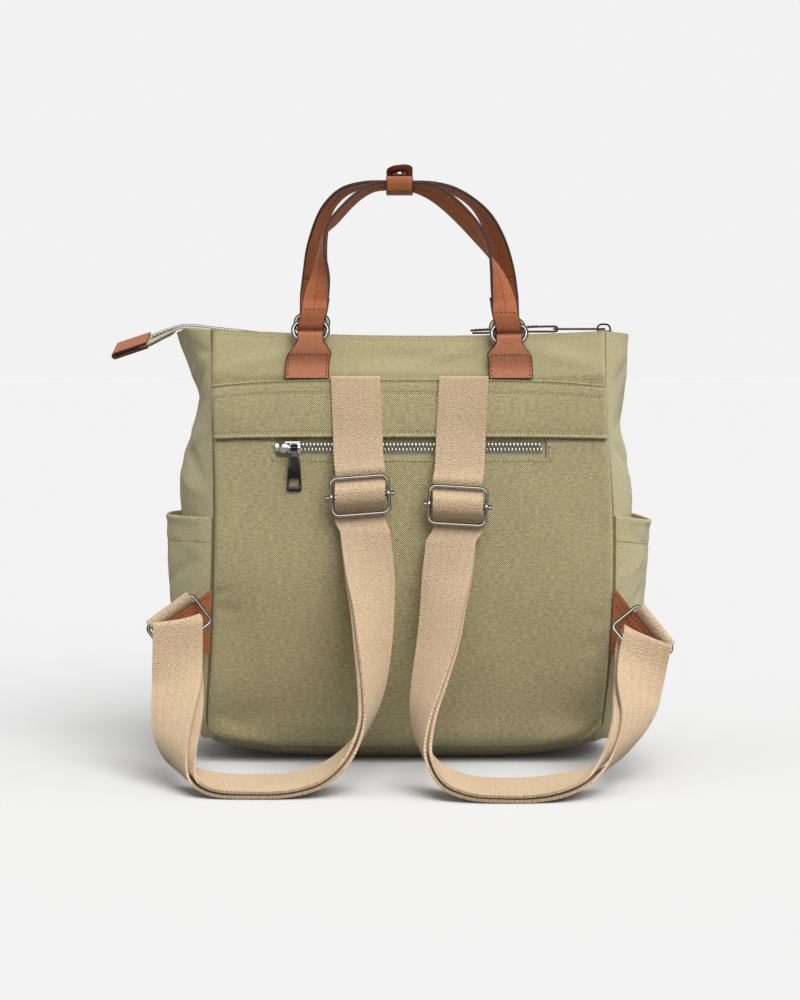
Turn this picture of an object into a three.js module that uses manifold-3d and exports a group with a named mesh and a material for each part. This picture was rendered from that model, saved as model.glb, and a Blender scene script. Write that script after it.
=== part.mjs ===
// Canvas backpack: hollow canvas body with side pockets, webbing shoulder straps, leather carrying
// handles, two zips and nickel fittings. Millimetres, +Z up, floor at z = 0, strap side towards -Y.
import * as THREE from "three";
import { mergeVertices } from "three/addons/utils/BufferGeometryUtils.js";
import Module from "manifold-3d";

const wasm = await Module();
wasm.setup();

// Driving dimensions
const GAP = 0.3;
const CANVAS = 2;
const POCKET_CLOTH = 1.5;
const BAND_CLOTH = 1.6;
const FACING_CLOTH = 1.5;
const LEATHER = 1.6;
const HANDLE_LEATHER = 2.4;
const HANDLE_WIDTH = 20.4;
const WEBBING = 2;
const WEBBING_WIDTH = 38;
const WIRE = 2.9;
const RING_WIRE = 3.8;
const HANDLE_RING = { long: 26.6, short: 13, corner: 6.2 };
const LOOP_REACH = 13.3;
const BASE_LIFT = 13.5;
const BASE_FLAT = 0.5;
const TOP_HEIGHT = 331.5;
const BAND_TOP = 297.5;
const BAND_BOTTOM = 252.5;
const ZIP_TAPE = 1.2;
const WALL_ROWS = 13;

// Body sections by height: seam half width, sideways sway of the panels, panels at the seams, gusset
// bulges, belly of the panels
const SECTIONS = [
  { z: 0, half: 150.5, sway: -2.5, back: -57, front: 57, left: 5, right: 5, belly: 1 },
  { z: 30, half: 152.8, sway: -2.4, back: -61.5, front: 61, left: 10, right: 10, belly: 5 },
  { z: 80, half: 153.5, sway: 1.2, back: -65, front: 64, left: 14, right: 15, belly: 10 },
  { z: 140, half: 154, sway: 4, back: -65.5, front: 64, left: 18, right: 18, belly: 12 },
  { z: 200, half: 153.5, sway: 4.4, back: -62, front: 60, left: 29.5, right: 26, belly: 9 },
  { z: 255, half: 153, sway: 2.2, back: -56, front: 54, left: 22, right: 20, belly: 6 },
  { z: 285, half: 153, sway: 0.8, back: -51.5, front: 49, left: 16, right: 21, belly: 4 },
  { z: 310, half: 153, sway: 0.6, back: -47, front: 45, left: 24, right: 23, belly: 2 },
  { z: 340, half: 153, sway: 0.6, back: -41, front: 40, left: 35, right: 25, belly: 0 },
];

// Side pocket bulge by height, beyond the gusset's seam line
const POCKETS = [
  { z: 0, left: 7, right: 7 },
  { z: 40, left: 20, right: 19 },
  { z: 90, left: 33, right: 32 },
  { z: 140, left: 35.5, right: 36 },
  { z: 195, left: 37.5, right: 39 },
];

// Folds and dents of the walls: place across (x, or share of the gusset's depth), height, size, push out
const FOLDS = [
  { wall: "back", across: -136, z: 112, wide: 15, tall: 22, push: -3.2 },
  { wall: "back", across: -146, z: 60, wide: 16, tall: 26, push: 2.2 },
  { wall: "back", across: 128, z: 38, wide: 22, tall: 15, push: -4 },
  { wall: "back", across: -122, z: 36, wide: 26, tall: 12, push: -3 },
  { wall: "back", across: 120, z: 150, wide: 22, tall: 50, push: 2 },
  { wall: "front", across: -120, z: 60, wide: 30, tall: 24, push: -3 },
  { wall: "front", across: 118, z: 90, wide: 30, tall: 40, push: -3 },
  { wall: "left", across: 0.3, z: 318, wide: 0.14, tall: 20, push: -6 },
  { wall: "left", across: 0.62, z: 262, wide: 0.16, tall: 16, push: -4 },
  { wall: "right", across: 0.35, z: 262, wide: 0.16, tall: 18, push: -3 },
  { wall: "pocketLeft", across: 0.3, z: 130, wide: 0.1, tall: 60, push: 2 },
  { wall: "pocketRight", across: 0.34, z: 150, wide: 0.08, tall: 45, push: -3 },
];

const vec = (x, y, z) => new THREE.Vector3(x, y, z);
const { lerp, smoothstep, degToRad, clamp } = THREE.MathUtils;
const range = (count) => Array.from({ length: count }, (unused, i) => i);

// Smooth value of one named column between the rows of a table
function blend(rows, along, name, value) {
  const next = clamp(rows.findIndex((row) => row[along] >= value), 1, rows.length - 1);
  const end = value > rows[rows.length - 1][along] ? rows.length - 1 : next;
  const a = rows[end - 1];
  const b = rows[end];
  const before = rows[Math.max(end - 2, 0)];
  const after = rows[Math.min(end + 1, rows.length - 1)];
  const span = b[along] - a[along];
  const slopeA = ((b[name] - before[name]) / (b[along] - before[along])) * span;
  const slopeB = ((after[name] - a[name]) / (after[along] - a[along])) * span;
  const t = clamp((value - a[along]) / span, 0, 1);
  const rise = b[name] - a[name];
  return a[name] + slopeA * t + (3 * rise - 2 * slopeA - slopeB) * t * t
    + (slopeA + slopeB - 2 * rise) * t * t * t;
}
const body = (z, name) => blend(SECTIONS, "z", name, z);

function folds(wall, across, z) {
  let push = 0;
  for (const fold of FOLDS) {
    if (fold.wall === wall) {
      const a = (across - fold.across) / fold.wide;
      const b = (z - fold.z) / fold.tall;
      push += fold.push * Math.exp(-a * a - b * b);
    }
  }
  return push;
}

// Solid helpers
function geometryOf(points, index) {
  const geometry = new THREE.BufferGeometry().setFromPoints(points);
  geometry.setIndex(index);
  let volume = 0;
  for (let i = 0; i < index.length; i += 3) {
    const [a, b, c] = [points[index[i]], points[index[i + 1]], points[index[i + 2]]];
    volume += a.dot(b.clone().cross(c));
  }
  if (volume < 0) {
    const turned = [];
    for (let i = 0; i < index.length; i += 3) {
      turned.push(index[i], index[i + 2], index[i + 1]);
    }
    geometry.setIndex(turned);
  }
  return geometry;
}

// A solid through rings of points
function loft(rings, closed = false) {
  const sides = rings[0].length;
  const index = [];
  const spans = closed ? rings.length : rings.length - 1;
  for (let i = 0; i < spans; i++) {
    const next = (i + 1) % rings.length;
    for (let k = 0; k < sides; k++) {
      const a = i * sides + k;
      const b = i * sides + ((k + 1) % sides);
      const c = next * sides + ((k + 1) % sides);
      const d = next * sides + k;
      index.push(a, b, c, a, c, d);
    }
  }
  if (!closed) {
    const last = (rings.length - 1) * sides;
    for (let k = 1; k < sides - 1; k++) {
      index.push(0, k + 1, k, last, last + k, last + k + 1);
    }
  }
  return geometryOf(rings.flat(), index);
}

// A cloth wall over surface(u, v), given its thickness on the side named by inward
function wall(surface, across, along, thickness, inward) {
  const outer = [];
  const inner = [];
  const step = 0.002;
  for (let j = 0; j <= along; j++) {
    for (let i = 0; i <= across; i++) {
      const u = i / across;
      const v = j / along;
      const p = surface(u, v);
      const du = surface(Math.min(u + step, 1), v).sub(surface(Math.max(u - step, 0), v));
      const dv = surface(u, Math.min(v + step, 1)).sub(surface(u, Math.max(v - step, 0)));
      const normal = du.cross(dv).normalize();
      normal.multiplyScalar(normal.dot(inward(u, v)) < 0 ? -1 : 1);
      outer.push(p);
      inner.push(p.clone().addScaledVector(normal, thickness));
    }
  }
  const row = across + 1;
  const count = outer.length;
  const index = [];
  for (let j = 0; j < along; j++) {
    for (let i = 0; i < across; i++) {
      const a = j * row + i;
      index.push(a, a + 1, a + row + 1, a, a + row + 1, a + row);
      index.push(count + a, count + a + row + 1, count + a + 1);
      index.push(count + a, count + a + row, count + a + row + 1);
    }
  }
  const rim = [
    ...range(across).map((i) => i),
    ...range(along).map((j) => j * row + across),
    ...range(across).map((i) => along * row + across - i),
    ...range(along).map((j) => (along - j) * row),
  ];
  rim.forEach((a, k) => {
    const b = rim[(k + 1) % rim.length];
    index.push(b, a, count + a, b, count + a, count + b);
  });
  return geometryOf([...outer, ...inner], index);
}

// Direction along a line of stations at one station
function heading(stations, i) {
  const a = stations[Math.max(i - 1, 0)].at;
  const b = stations[Math.min(i + 1, stations.length - 1)].at;
  return b.clone().sub(a).normalize();
}
const inside = (stations, i, sign) => heading(stations, i).cross(stations[i].across).normalize()
  .multiplyScalar(sign);

// A flat strip along stations of place, direction across and half width
function ribbon(stations, thickness) {
  const rings = stations.map((station, i) => {
    const face = inside(stations, i, thickness / 2);
    const side = station.across.clone().multiplyScalar(station.half);
    return [
      station.at.clone().add(side).add(face),
      station.at.clone().add(side).sub(face),
      station.at.clone().sub(side).sub(face),
      station.at.clone().sub(side).add(face),
    ];
  });
  return loft(rings);
}

// Stations on a smooth line through table rows; lookAcross turns a row's angles into a direction
function route(rows, steps, half, lookAcross) {
  const keyed = rows.map((row, key) => ({ key, dip: 0, ...row }));
  const spots = rows.map((row) => vec(row.x, row.y, row.z));
  const curve = new THREE.CatmullRomCurve3(spots, false, "centripetal");
  return range(steps + 1).map((i) => {
    const key = (i / steps) * (rows.length - 1);
    const turn = degToRad(blend(keyed, "key", "turn", key));
    const dip = degToRad(blend(keyed, "key", "dip", key));
    return { at: curve.getPoint(i / steps), across: lookAcross(turn, dip), half };
  });
}

// Points of an arc in a plane given by two directions
function arc(center, first, second, radius, from, to, steps) {
  return range(steps + 1).map((i) => {
    const angle = degToRad(lerp(from, to, i / steps));
    return center.clone().addScaledVector(first, radius * Math.cos(angle))
      .addScaledVector(second, radius * Math.sin(angle));
  });
}

// A closed rounded frame of round wire in the plane of two directions
function wireFrame({ center, first, second }, { long, short, corner }, wire, sides) {
  const out = first.clone().cross(second).normalize();
  const rings = [];
  const spots = [[1, 1, 0], [-1, 1, 90], [-1, -1, 180], [1, -1, 270]];
  for (const [a, b, start] of spots) {
    const hub = center.clone().addScaledVector(first, a * (long / 2 - corner))
      .addScaledVector(second, b * (short / 2 - corner));
    for (let i = 0; i <= 3; i++) {
      const angle = degToRad(start + i * 30);
      const away = first.clone().multiplyScalar(Math.cos(angle)).addScaledVector(second, Math.sin(angle));
      const mid = hub.clone().addScaledVector(away, corner);
      rings.push(arc(mid, away, out, wire / 2, 0, 360 * (1 - 1 / sides), sides - 1));
    }
  }
  return loft(rings, true);
}

// A round rod between two points
function rod(from, to, radius, sides) {
  const along = to.clone().sub(from);
  const geometry = new THREE.CylinderGeometry(radius, radius, along.length(), sides);
  const turn = new THREE.Quaternion().setFromUnitVectors(vec(0, 1, 0), along.clone().normalize());
  geometry.applyQuaternion(turn);
  const mid = from.clone().lerp(to, 0.5);
  return geometry.translate(mid.x, mid.y, mid.z);
}
const box = (x0, x1, y0, y1, z0, z1) => new THREE.BoxGeometry(x1 - x0, y1 - y0, z1 - z0)
  .translate((x0 + x1) / 2, (y0 + y1) / 2, (z0 + z1) / 2);

// Joining and cutting
function solidOf(geometry) {
  const bare = new THREE.BufferGeometry();
  bare.setAttribute("position", geometry.getAttribute("position"));
  bare.setIndex(geometry.index);
  const merged = mergeVertices(bare, 1e-4);
  const mesh = new wasm.Mesh({
    numProp: 3,
    vertProperties: Float32Array.from(merged.getAttribute("position").array),
    triVerts: Uint32Array.from(merged.index.array),
  });
  return new wasm.Manifold(mesh);
}
function geometryFrom(solid) {
  const mesh = solid.getMesh();
  const geometry = new THREE.BufferGeometry();
  geometry.setAttribute("position", new THREE.BufferAttribute(Float32Array.from(mesh.vertProperties), 3));
  geometry.setIndex(new THREE.BufferAttribute(Uint32Array.from(mesh.triVerts), 1));
  return geometry;
}
const join = (...parts) => geometryFrom(parts.map(solidOf).reduce((a, b) => a.add(b)));
const cut = (whole, ...tools) => geometryFrom(
  tools.map(solidOf).reduce((a, b) => a.subtract(b), solidOf(whole)));

// Materials and the assembly
function paint(color, roughness, metalness = 0) {
  return new THREE.MeshStandardMaterial({ color, roughness, metalness });
}
const canvas = paint(0xa69b76, 0.95);
const webbing = paint(0xd0bb9d, 0.95);
const leather = paint(0xa5663e, 0.5);
const nickel = paint(0xc8c8c6, 0.28, 1);
const gunmetal = paint(0x34312f, 0.35, 1);
const tape = paint(0xc0ae92, 0.9);
const bag = new THREE.Group();
bag.name = "fabric_backpack";
function piece(name, geometry, material) {
  const mesh = new THREE.Mesh(geometry, material);
  mesh.name = name;
  bag.add(mesh);
}

// Walls of the body
const lift = (radius) => BASE_LIFT * (Math.max(radius - BASE_FLAT, 0) / (1 - BASE_FLAT)) ** 2;
const edgeLow = (share) => lift((1 + Math.abs(share) ** 6) ** (1 / 6));
const topEdge = (share) => TOP_HEIGHT + 4.5 * share * share - 0.8 * share;
const bow = (share) => Math.sin(Math.PI * share);
const swell = (share) => Math.max(bow(share), 0) ** 0.75;

function skin(face, x, z) {
  const share = clamp((x - body(z, "sway")) / body(z, "half"), -1, 1);
  const out = body(z, "belly") * (1 - share * share) + folds(face, x, z);
  return face === "back" ? body(z, "back") - out : body(z, "front") + out;
}
const skinPoint = (face, x, z, out) => vec(x, skin(face, x, z) + (face === "back" ? -out : out), z);

function panel(face) {
  const surface = (u, v) => {
    const share = 2 * u - 1;
    const low = edgeLow(share);
    const z = lerp(low, topEdge(share), v);
    const x = share * body(z, "half") + body(z, "sway");
    return vec(x, skin(face, x, z), z);
  };
  const across = face === "back" ? 12 : 10;
  const inward = vec(0, face === "back" ? 1 : -1, 0);
  return wall(surface, across, WALL_ROWS, CANVAS, () => inward);
}

function gussetPoint(side, share, z, bulge) {
  const name = side < 0 ? "left" : "right";
  const x = body(z, "half") - 1 + bulge * swell(share) + folds(name, share, z);
  const seam = side * body(z, "half") + body(z, "sway");
  const near = skin("back", seam, z) + CANVAS + GAP + 0.1;
  const far = skin("front", seam, z) - CANVAS - GAP - 0.1;
  return vec(side * x + body(z, "sway") * (1 - bow(share)), lerp(near, far, share), z);
}

function gusset(side) {
  const name = side < 0 ? "left" : "right";
  const surface = (u, v) => {
    const z = lerp(edgeLow(2 * u - 1), topEdge(side) - 2 * bow(u), v);
    return gussetPoint(side, u, z, body(z, name));
  };
  return wall(surface, 8, WALL_ROWS, CANVAS, () => vec(-side, 0, 0));
}

function pocket(side) {
  const name = side < 0 ? "left" : "right";
  const fold = side < 0 ? "pocketLeft" : "pocketRight";
  const rim = (share) => (side < 0 ? 191 : 192 - 6 * bow(share));
  const surface = (u, v) => {
    const z = lerp(edgeLow(2 * u - 1) + 1, rim(u), v);
    const bulge = blend(POCKETS, "z", name, z);
    const point = gussetPoint(side, u, z, bulge);
    const out = CANVAS + GAP + folds(fold, u, z) - folds(name, u, z);
    return point.add(vec(side * out, 0, 0));
  };
  return wall(surface, 8, 8, POCKET_CLOTH, () => vec(-side, 0, 0));
}

function base() {
  const surface = (u, v) => {
    const share = 2 * u - 1;
    const deep = 2 * v - 1;
    const z = lift((Math.abs(share) ** 6 + Math.abs(deep) ** 6) ** (1 / 6));
    const inset = CANVAS + GAP + 0.6;
    const half = body(z, "half") - 1 + body(z, "left") * bow(v) - inset;
    const near = body(z, "back") + inset;
    const far = body(z, "front") - inset;
    return vec(share * half + body(z, "sway") * (1 - bow(v)), lerp(near, far, v), z);
  };
  return wall(surface, 12, 8, CANVAS, () => vec(0, 0, 1));
}

// Zip pocket window in the back panel
const WINDOW = { left: -102, right: 107, low: 237.5, high: 252 };
const slit = box(WINDOW.left, WINDOW.right, -90, -30, WINDOW.low, WINDOW.high);
piece("back_panel", cut(panel("back"), slit), canvas);
piece("front_panel", panel("front"), canvas);
piece("gusset_left", gusset(-1), canvas);
piece("gusset_right", gusset(1), canvas);
piece("side_pocket_left", pocket(-1), canvas);
piece("side_pocket_right", pocket(1), canvas);
piece("base_panel", base(), canvas);

// Yoke band across the back panel
function yoke() {
  const surface = (u, v) => {
    const share = 2 * u - 1;
    const drop = 5 * share ** 4;
    const z = lerp(BAND_BOTTOM - 1.5 * share ** 4, BAND_TOP - drop, v);
    const x = share * (body(z, "half") - 0.4) + body(z, "sway");
    return skinPoint("back", x, z, GAP + 0.1 + BAND_CLOTH);
  };
  return wall(surface, 14, 2, BAND_CLOTH, () => vec(0, 1, 0));
}
piece("yoke_band", yoke(), canvas);

// Top closure: facings from the panels to the zip, and the zip's tape, teeth and end tab
const TOP_ZIP = [
  { x: -214, z: 325.9, y: -2, tilt: 17 },
  { x: -205, z: 328.9, y: -1.5, tilt: 16 },
  { x: -192, z: 334.4, y: -1, tilt: 10 },
  { x: -178, z: 338, y: 0, tilt: 1 },
  { x: -150, z: 335.5, y: 0, tilt: 0 },
  { x: -100, z: 330.5, y: 0, tilt: 0 },
  { x: 0, z: 327.5, y: 0, tilt: 0 },
  { x: 100, z: 329.5, y: 0, tilt: 0 },
  { x: 150, z: 331.5, y: 0, tilt: 0 },
  { x: 168, z: 332, y: 0, tilt: 0 },
];
const TAPE_HALF = 14;
const zipHeight = (x) => blend(TOP_ZIP, "x", "z", x);

function zipStations(from, to, steps, out, half) {
  return range(steps + 1).map((i) => {
    const x = lerp(from, to, i / steps);
    const tilt = degToRad(blend(TOP_ZIP, "x", "tilt", x));
    const across = vec(0, Math.cos(tilt), Math.sin(tilt));
    const slope = (zipHeight(x + 0.5) - zipHeight(x - 0.5));
    const up = vec(-slope, 0, 1).normalize().cross(across).cross(across).negate().normalize();
    const at = vec(x, blend(TOP_ZIP, "x", "y", x), zipHeight(x)).addScaledVector(up, out);
    return { at, across, half };
  });
}

function facing(face) {
  const sign = face === "back" ? -1 : 1;
  const surface = (u, v) => {
    const share = 2 * u - 1;
    const height = topEdge(share);
    const seam = body(height, face) - sign * (CANVAS + GAP + 0.2);
    const y = lerp(seam, sign * 10.5, v);
    const depth = clamp((y - body(height, "back")) / (body(height, "front") - body(height, "back")), 0, 1);
    const side = share < 0 ? -1 : 1;
    const end = gussetPoint(side, depth, height, body(height, side < 0 ? "left" : "right")).x * side;
    const x = share * (end - CANVAS - 7);
    const z = lerp(height - 2, zipHeight(x) - ZIP_TAPE / 2 - GAP - 0.4, smoothstep(v, 0, 1));
    return vec(x, y, z);
  };
  return wall(surface, 14, 2, FACING_CLOTH, () => vec(0, 0, -1));
}
piece("top_facing_back", facing("back"), canvas);
piece("top_facing_front", facing("front"), canvas);
piece("top_zip_tape", ribbon(zipStations(-211.5, 167, 30, 0, TAPE_HALF), ZIP_TAPE), tape);
piece("top_zip_teeth", ribbon(zipStations(-203, 150, 30, ZIP_TAPE / 2 + GAP + 1.3, 2.8), 2.2), nickel);

// Leather tab folded round the end of the top zip
const TAB_END = { droop: 18.5, length: 29, tilt: 16.5 };
function zipEndTab() {
  const tilt = degToRad(TAB_END.tilt);
  const across = vec(0, Math.cos(tilt), Math.sin(tilt));
  const droop = degToRad(TAB_END.droop);
  const along = vec(-Math.cos(droop), 0, -Math.sin(droop));
  const up = along.clone().cross(across).normalize();
  up.multiplyScalar(up.z < 0 ? -1 : 1);
  const root = vec(-206, -1.6, 328.55);
  const off = ZIP_TAPE / 2 + GAP + 0.4 + LEATHER / 2;
  const tip = root.clone().addScaledVector(along, TAB_END.length - off);
  const spots = [
    ...range(4).map((i) => root.clone().addScaledVector(along, i * 8).addScaledVector(up, off)),
    ...arc(tip, up, along, off, 0, 180, 6),
    ...range(4).map((i) => root.clone().addScaledVector(along, 24 - i * 8).addScaledVector(up, -off)),
  ];
  return ribbon(spots.map((at) => ({ at, across, half: 15.5 })), LEATHER);
}
piece("zip_end_tab", zipEndTab(), leather);

// Top zip slider, its link and the folded leather pull
const SLIDER_X = 156;
const sliderFloor = zipHeight(SLIDER_X) + ZIP_TAPE / 2 + GAP;
function topSlider() {
  const plate = box(SLIDER_X - 5, SLIDER_X + 7, -5, 5, sliderFloor, sliderFloor + 3.6);
  const left = rod(vec(SLIDER_X - 3, 0, sliderFloor + 3), vec(SLIDER_X - 3, 0, sliderFloor + 8.4), 0.9, 8);
  const right = rod(vec(SLIDER_X + 4, 0, sliderFloor + 3), vec(SLIDER_X + 4, 0, sliderFloor + 8.4), 0.9, 8);
  const top = box(SLIDER_X - 4, SLIDER_X + 5, -1.4, 1.4, sliderFloor + 7.6, sliderFloor + 9.2);
  return join(plate, left, right, top);
}
piece("top_zip_slider", topSlider(), nickel);

const LINK = { right: SLIDER_X + 0.5, left: 116, half: 4.2, thick: 1.6 };
const linkFloor = sliderFloor + 3.6 + GAP;
function linkPlate() {
  const outline = new THREE.Shape();
  outline.moveTo(LINK.left, -LINK.half);
  outline.lineTo(LINK.right - 3, -LINK.half);
  outline.absarc(LINK.right - 3, 0, LINK.half, -Math.PI / 2, Math.PI / 2, false);
  outline.lineTo(LINK.left, LINK.half);
  outline.closePath();
  const settings = { depth: LINK.thick, bevelEnabled: false, curveSegments: 8 };
  const plate = new THREE.ExtrudeGeometry(outline, settings).translate(0, 0, linkFloor);
  const eye = rod(vec(SLIDER_X - 3, 0, linkFloor - 2), vec(SLIDER_X - 3, 0, linkFloor + 4), 2, 12);
  const slot = box(LINK.left + 2.2, LINK.left + 10, -2.9, 2.9, linkFloor - 2, linkFloor + 4);
  return cut(plate, eye, slot);
}
piece("top_zip_link", linkPlate(), nickel);

// The pull: leather strip turned through the link's slot, both ends lying along the zip
function topPull() {
  const across = vec(0, 1, 0);
  const bar = vec(LINK.left + 1.5, 0, linkFloor + LINK.thick / 2);
  const off = LINK.thick / 2 + 0.4 + LEATHER / 2;
  const ends = [{ x: 50, z: 0 }, { x: 70, z: 0.2 }, { x: 92, z: 0.1 }, { x: 108, z: 0 }];
  const rest = (x) => lerp(bar.z - 2.2, bar.z, smoothstep(x, 50, 108));
  const fold = arc(bar, vec(0, 0, 1), vec(1, 0, 0), off, 0, 180, 8);
  const spots = [
    ...ends.map((end) => ({ at: vec(end.x, 0, rest(end.x) + lerp(1, off, (end.x - 50) / 58)), half: 5 })),
    ...fold.map((at) => ({ at, half: 2.5 })),
    ...ends.slice().reverse().map((end) => ({
      at: vec(end.x + 1.5, 0, rest(end.x) - lerp(1, off, (end.x - 50) / 58)),
      half: 5,
    })),
  ];
  return ribbon(spots.map((spot) => ({ ...spot, across })), LEATHER);
}
piece("top_pull_tab", topPull(), leather);

// Back zip: tape behind the window, toothed chain, slider with its bridge, and the metal pull
const ZIP_LINE = 245.4;
function backTape() {
  const depth = CANVAS + GAP + 0.25 + ZIP_TAPE / 2;
  const stations = range(13).map((i) => {
    const x = lerp(WINDOW.left - 5, WINDOW.right + 5, i / 12);
    const high = skinPoint("back", x, ZIP_LINE + 8, 0);
    const across = high.sub(skinPoint("back", x, ZIP_LINE - 8, 0)).normalize();
    return { at: skinPoint("back", x, ZIP_LINE, -depth), across, half: 11 };
  });
  return ribbon(stations, ZIP_TAPE);
}
piece("back_zip_tape", backTape(), tape);

const TOOTH_PITCH = 2.8;
function backTeeth() {
  const from = WINDOW.left + 1;
  const count = Math.floor((WINDOW.right - 1 - from) / TOOTH_PITCH);
  const crown = [];
  const floor = [];
  for (let i = 0; i < count; i++) {
    const x = from + i * TOOTH_PITCH;
    const y = skin("back", x, ZIP_LINE) + CANVAS - 0.1;
    floor.push([x, y], [x + TOOTH_PITCH, y]);
    crown.push([x + 0.2, y - 1.1], [x + 1.6, y - 2.5]);
  }
  const outline = new THREE.Shape();
  const first = floor[0];
  const last = floor[floor.length - 1];
  outline.moveTo(first[0], first[1]);
  crown.forEach(([x, y]) => outline.lineTo(x, y));
  outline.lineTo(last[0], last[1]);
  for (let i = floor.length - 4; i > 0; i -= 8) {
    outline.lineTo(floor[i][0], floor[i][1]);
  }
  outline.closePath();
  const chain = new THREE.ExtrudeGeometry(outline, { depth: 5.6, bevelEnabled: false });
  return chain.translate(0, 0, ZIP_LINE - 2.8);
}
const PULL_X = -87.4;
const sliderFace = skin("back", PULL_X, ZIP_LINE) + CANVAS - 0.1 - 2.5;
function backSlider() {
  const front = sliderFace - GAP;
  const plate = box(PULL_X - 10.9, PULL_X + 5, front - 1.6, front, ZIP_LINE - 5, ZIP_LINE + 5);
  const bar = front - 1.6 - 3.2;
  const left = box(PULL_X - 5.2, PULL_X - 3.4, bar - 1, front - 1, ZIP_LINE - 1.6, ZIP_LINE + 1.6);
  const right = box(PULL_X + 3.2, PULL_X + 5, bar - 1, front - 1, ZIP_LINE - 1.6, ZIP_LINE + 1.6);
  const bridge = rod(vec(PULL_X - 5, bar, ZIP_LINE), vec(PULL_X + 4.8, bar, ZIP_LINE), 1, 10);
  return join(plate, left, right, bridge);
}
const PULL_AXIS = sliderFace - GAP - 1.6 - 3.2;
function backPull() {
  const outline = new THREE.Shape();
  const rows = [[2.6, -1.8], [2.6, -7.5], [4.4, -8.8], [5.7, -31], [5, -31.8]];
  outline.moveTo(rows[0][0], rows[0][1]);
  rows.slice(1).forEach(([x, z]) => outline.lineTo(x, z));
  rows.slice().reverse().forEach(([x, z]) => outline.lineTo(-x, z));
  outline.closePath();
  const plate = new THREE.ExtrudeGeometry(outline, { depth: 1.4, bevelEnabled: false });
  plate.rotateX(Math.PI / 2).translate(PULL_X, PULL_AXIS + 0.7, ZIP_LINE);
  const onAxis = (x) => vec(PULL_X + x, PULL_AXIS, ZIP_LINE);
  const barrel = rod(onAxis(-2.6), onAxis(2.6), 2.7, 14);
  const eye = rod(onAxis(-5), onAxis(5), 1.35, 12);
  const hole = box(-3.8, 3.8, -5, 5, -28.6, -22.6).translate(PULL_X, PULL_AXIS, ZIP_LINE);
  return cut(join(plate, barrel), eye, hole);
}
piece("back_zip_teeth", backTeeth(), nickel);
piece("back_zip_slider", backSlider(), nickel);
piece("back_zip_pull", backPull(), gunmetal);

// Carrying handles: tabs folded round a ring on the panels, leather straps folded round the same rings
const RING_OUT = 4.3;
const HANDLE_RINGS = [
  { name: "back_left", face: "back", x: -75.4, z: 335.3, lean: -2.6 },
  { name: "back_right", face: "back", x: 78.2, z: 333, lean: 1.4 },
  { name: "front_left", face: "front", x: -78.6, z: 343, lean: 0 },
  { name: "front_right", face: "front", x: 82, z: 339, lean: 0 },
];
const ringY = (ring) => skin(ring.face, ring.x, 317) + (ring.face === "back" ? -RING_OUT : RING_OUT);

function handleTab(ring) {
  const sign = ring.face === "back" ? -1 : 1;
  const off = RING_WIRE / 2 + 0.4 + LEATHER / 2;
  const crest = ring.z - 0.2 - LEATHER / 2 - off;
  const plane = ringY(ring);
  const low = BAND_TOP + 0.8;
  const wide = (z) => lerp(17, HANDLE_WIDTH / 2, smoothstep(z, 315.5, crest - 2));
  const middle = (z) => ring.x + ring.lean * (1 - smoothstep(z, 305, crest - 2));
  const under = ring.z - LOOP_REACH - RING_WIRE / 2;
  const onSkin = (z, out) => skinPoint(ring.face, middle(z), z, out);
  const spots = [
    onSkin(low, 0.4 + LEATHER / 2),
    onSkin(308, 0.4 + LEATHER / 2),
    onSkin(316, 0.4 + LEATHER / 2),
    vec(ring.x, plane - sign * off, under - 1),
    ...arc(vec(ring.x, plane, crest), vec(0, -sign, 0), vec(0, 0, 1), off, 0, 180, 8),
    vec(ring.x, plane + sign * off, under + 1.5),
    vec(ring.x, plane + sign * (off - 0.3), under - 1.4),
    onSkin(under - 7, 4.6),
    onSkin(Math.min(under - 12, 308), 0.4 + LEATHER * 1.5 + GAP),
    onSkin(low, 0.4 + LEATHER * 1.5 + GAP),
  ];
  return ribbon(spots.map((at) => ({ at, across: vec(1, 0, 0), half: wide(at.z) })), LEATHER);
}

function handleRing(ring) {
  const frame = { center: vec(ring.x, ringY(ring), ring.z), first: vec(1, 0, 0), second: vec(0, 0, 1) };
  return wireFrame(frame, HANDLE_RING, RING_WIRE, 6);
}
for (const ring of HANDLE_RINGS) {
  piece(`handle_tab_${ring.name}`, handleTab(ring), leather);
  piece(`handle_ring_${ring.name}`, handleRing(ring), nickel);
}

// Handle lines: turn is the way the strap's width has swung from across the bag to along its depth, dip
// the rise of its near edge
const HANDLE_BACK = [
  { x: -71.6, y: -49.4, z: 358, turn: 6, dip: 0 },
  { x: -70, y: -46.8, z: 368, turn: 24, dip: 0 },
  { x: -68.3, y: -43.4, z: 378, turn: 44, dip: 0 },
  { x: -67.2, y: -38.6, z: 395, turn: 73, dip: 0 },
  { x: -64.6, y: -33, z: 412, turn: 86, dip: 4 },
  { x: -57.2, y: -27, z: 423.4, turn: 92, dip: 2 },
  { x: -41, y: -18.4, z: 440.2, turn: 94, dip: 7 },
  { x: -28, y: -13, z: 448.8, turn: 92, dip: 13 },
  { x: -17, y: -11.6, z: 450.6, turn: 90, dip: 13 },
  { x: -6.5, y: -11.4, z: 450.6, turn: 90, dip: 13 },
  { x: 5.3, y: -11.6, z: 449.4, turn: 88, dip: 17 },
  { x: 18.1, y: -13.6, z: 446, turn: 82, dip: 18 },
  { x: 31.2, y: -18.5, z: 436.8, turn: 84, dip: 8 },
  { x: 45.2, y: -25.5, z: 423.2, turn: 88, dip: 0 },
  { x: 54.8, y: -31.5, z: 410.4, turn: 90, dip: 0 },
  { x: 61, y: -36, z: 399.8, turn: 95, dip: 0 },
  { x: 68, y: -41, z: 384, turn: 112, dip: 0 },
  { x: 71.8, y: -45.2, z: 370.8, turn: 137, dip: 0 },
  { x: 74.4, y: -49, z: 358, turn: 160, dip: 0 },
];
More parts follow.
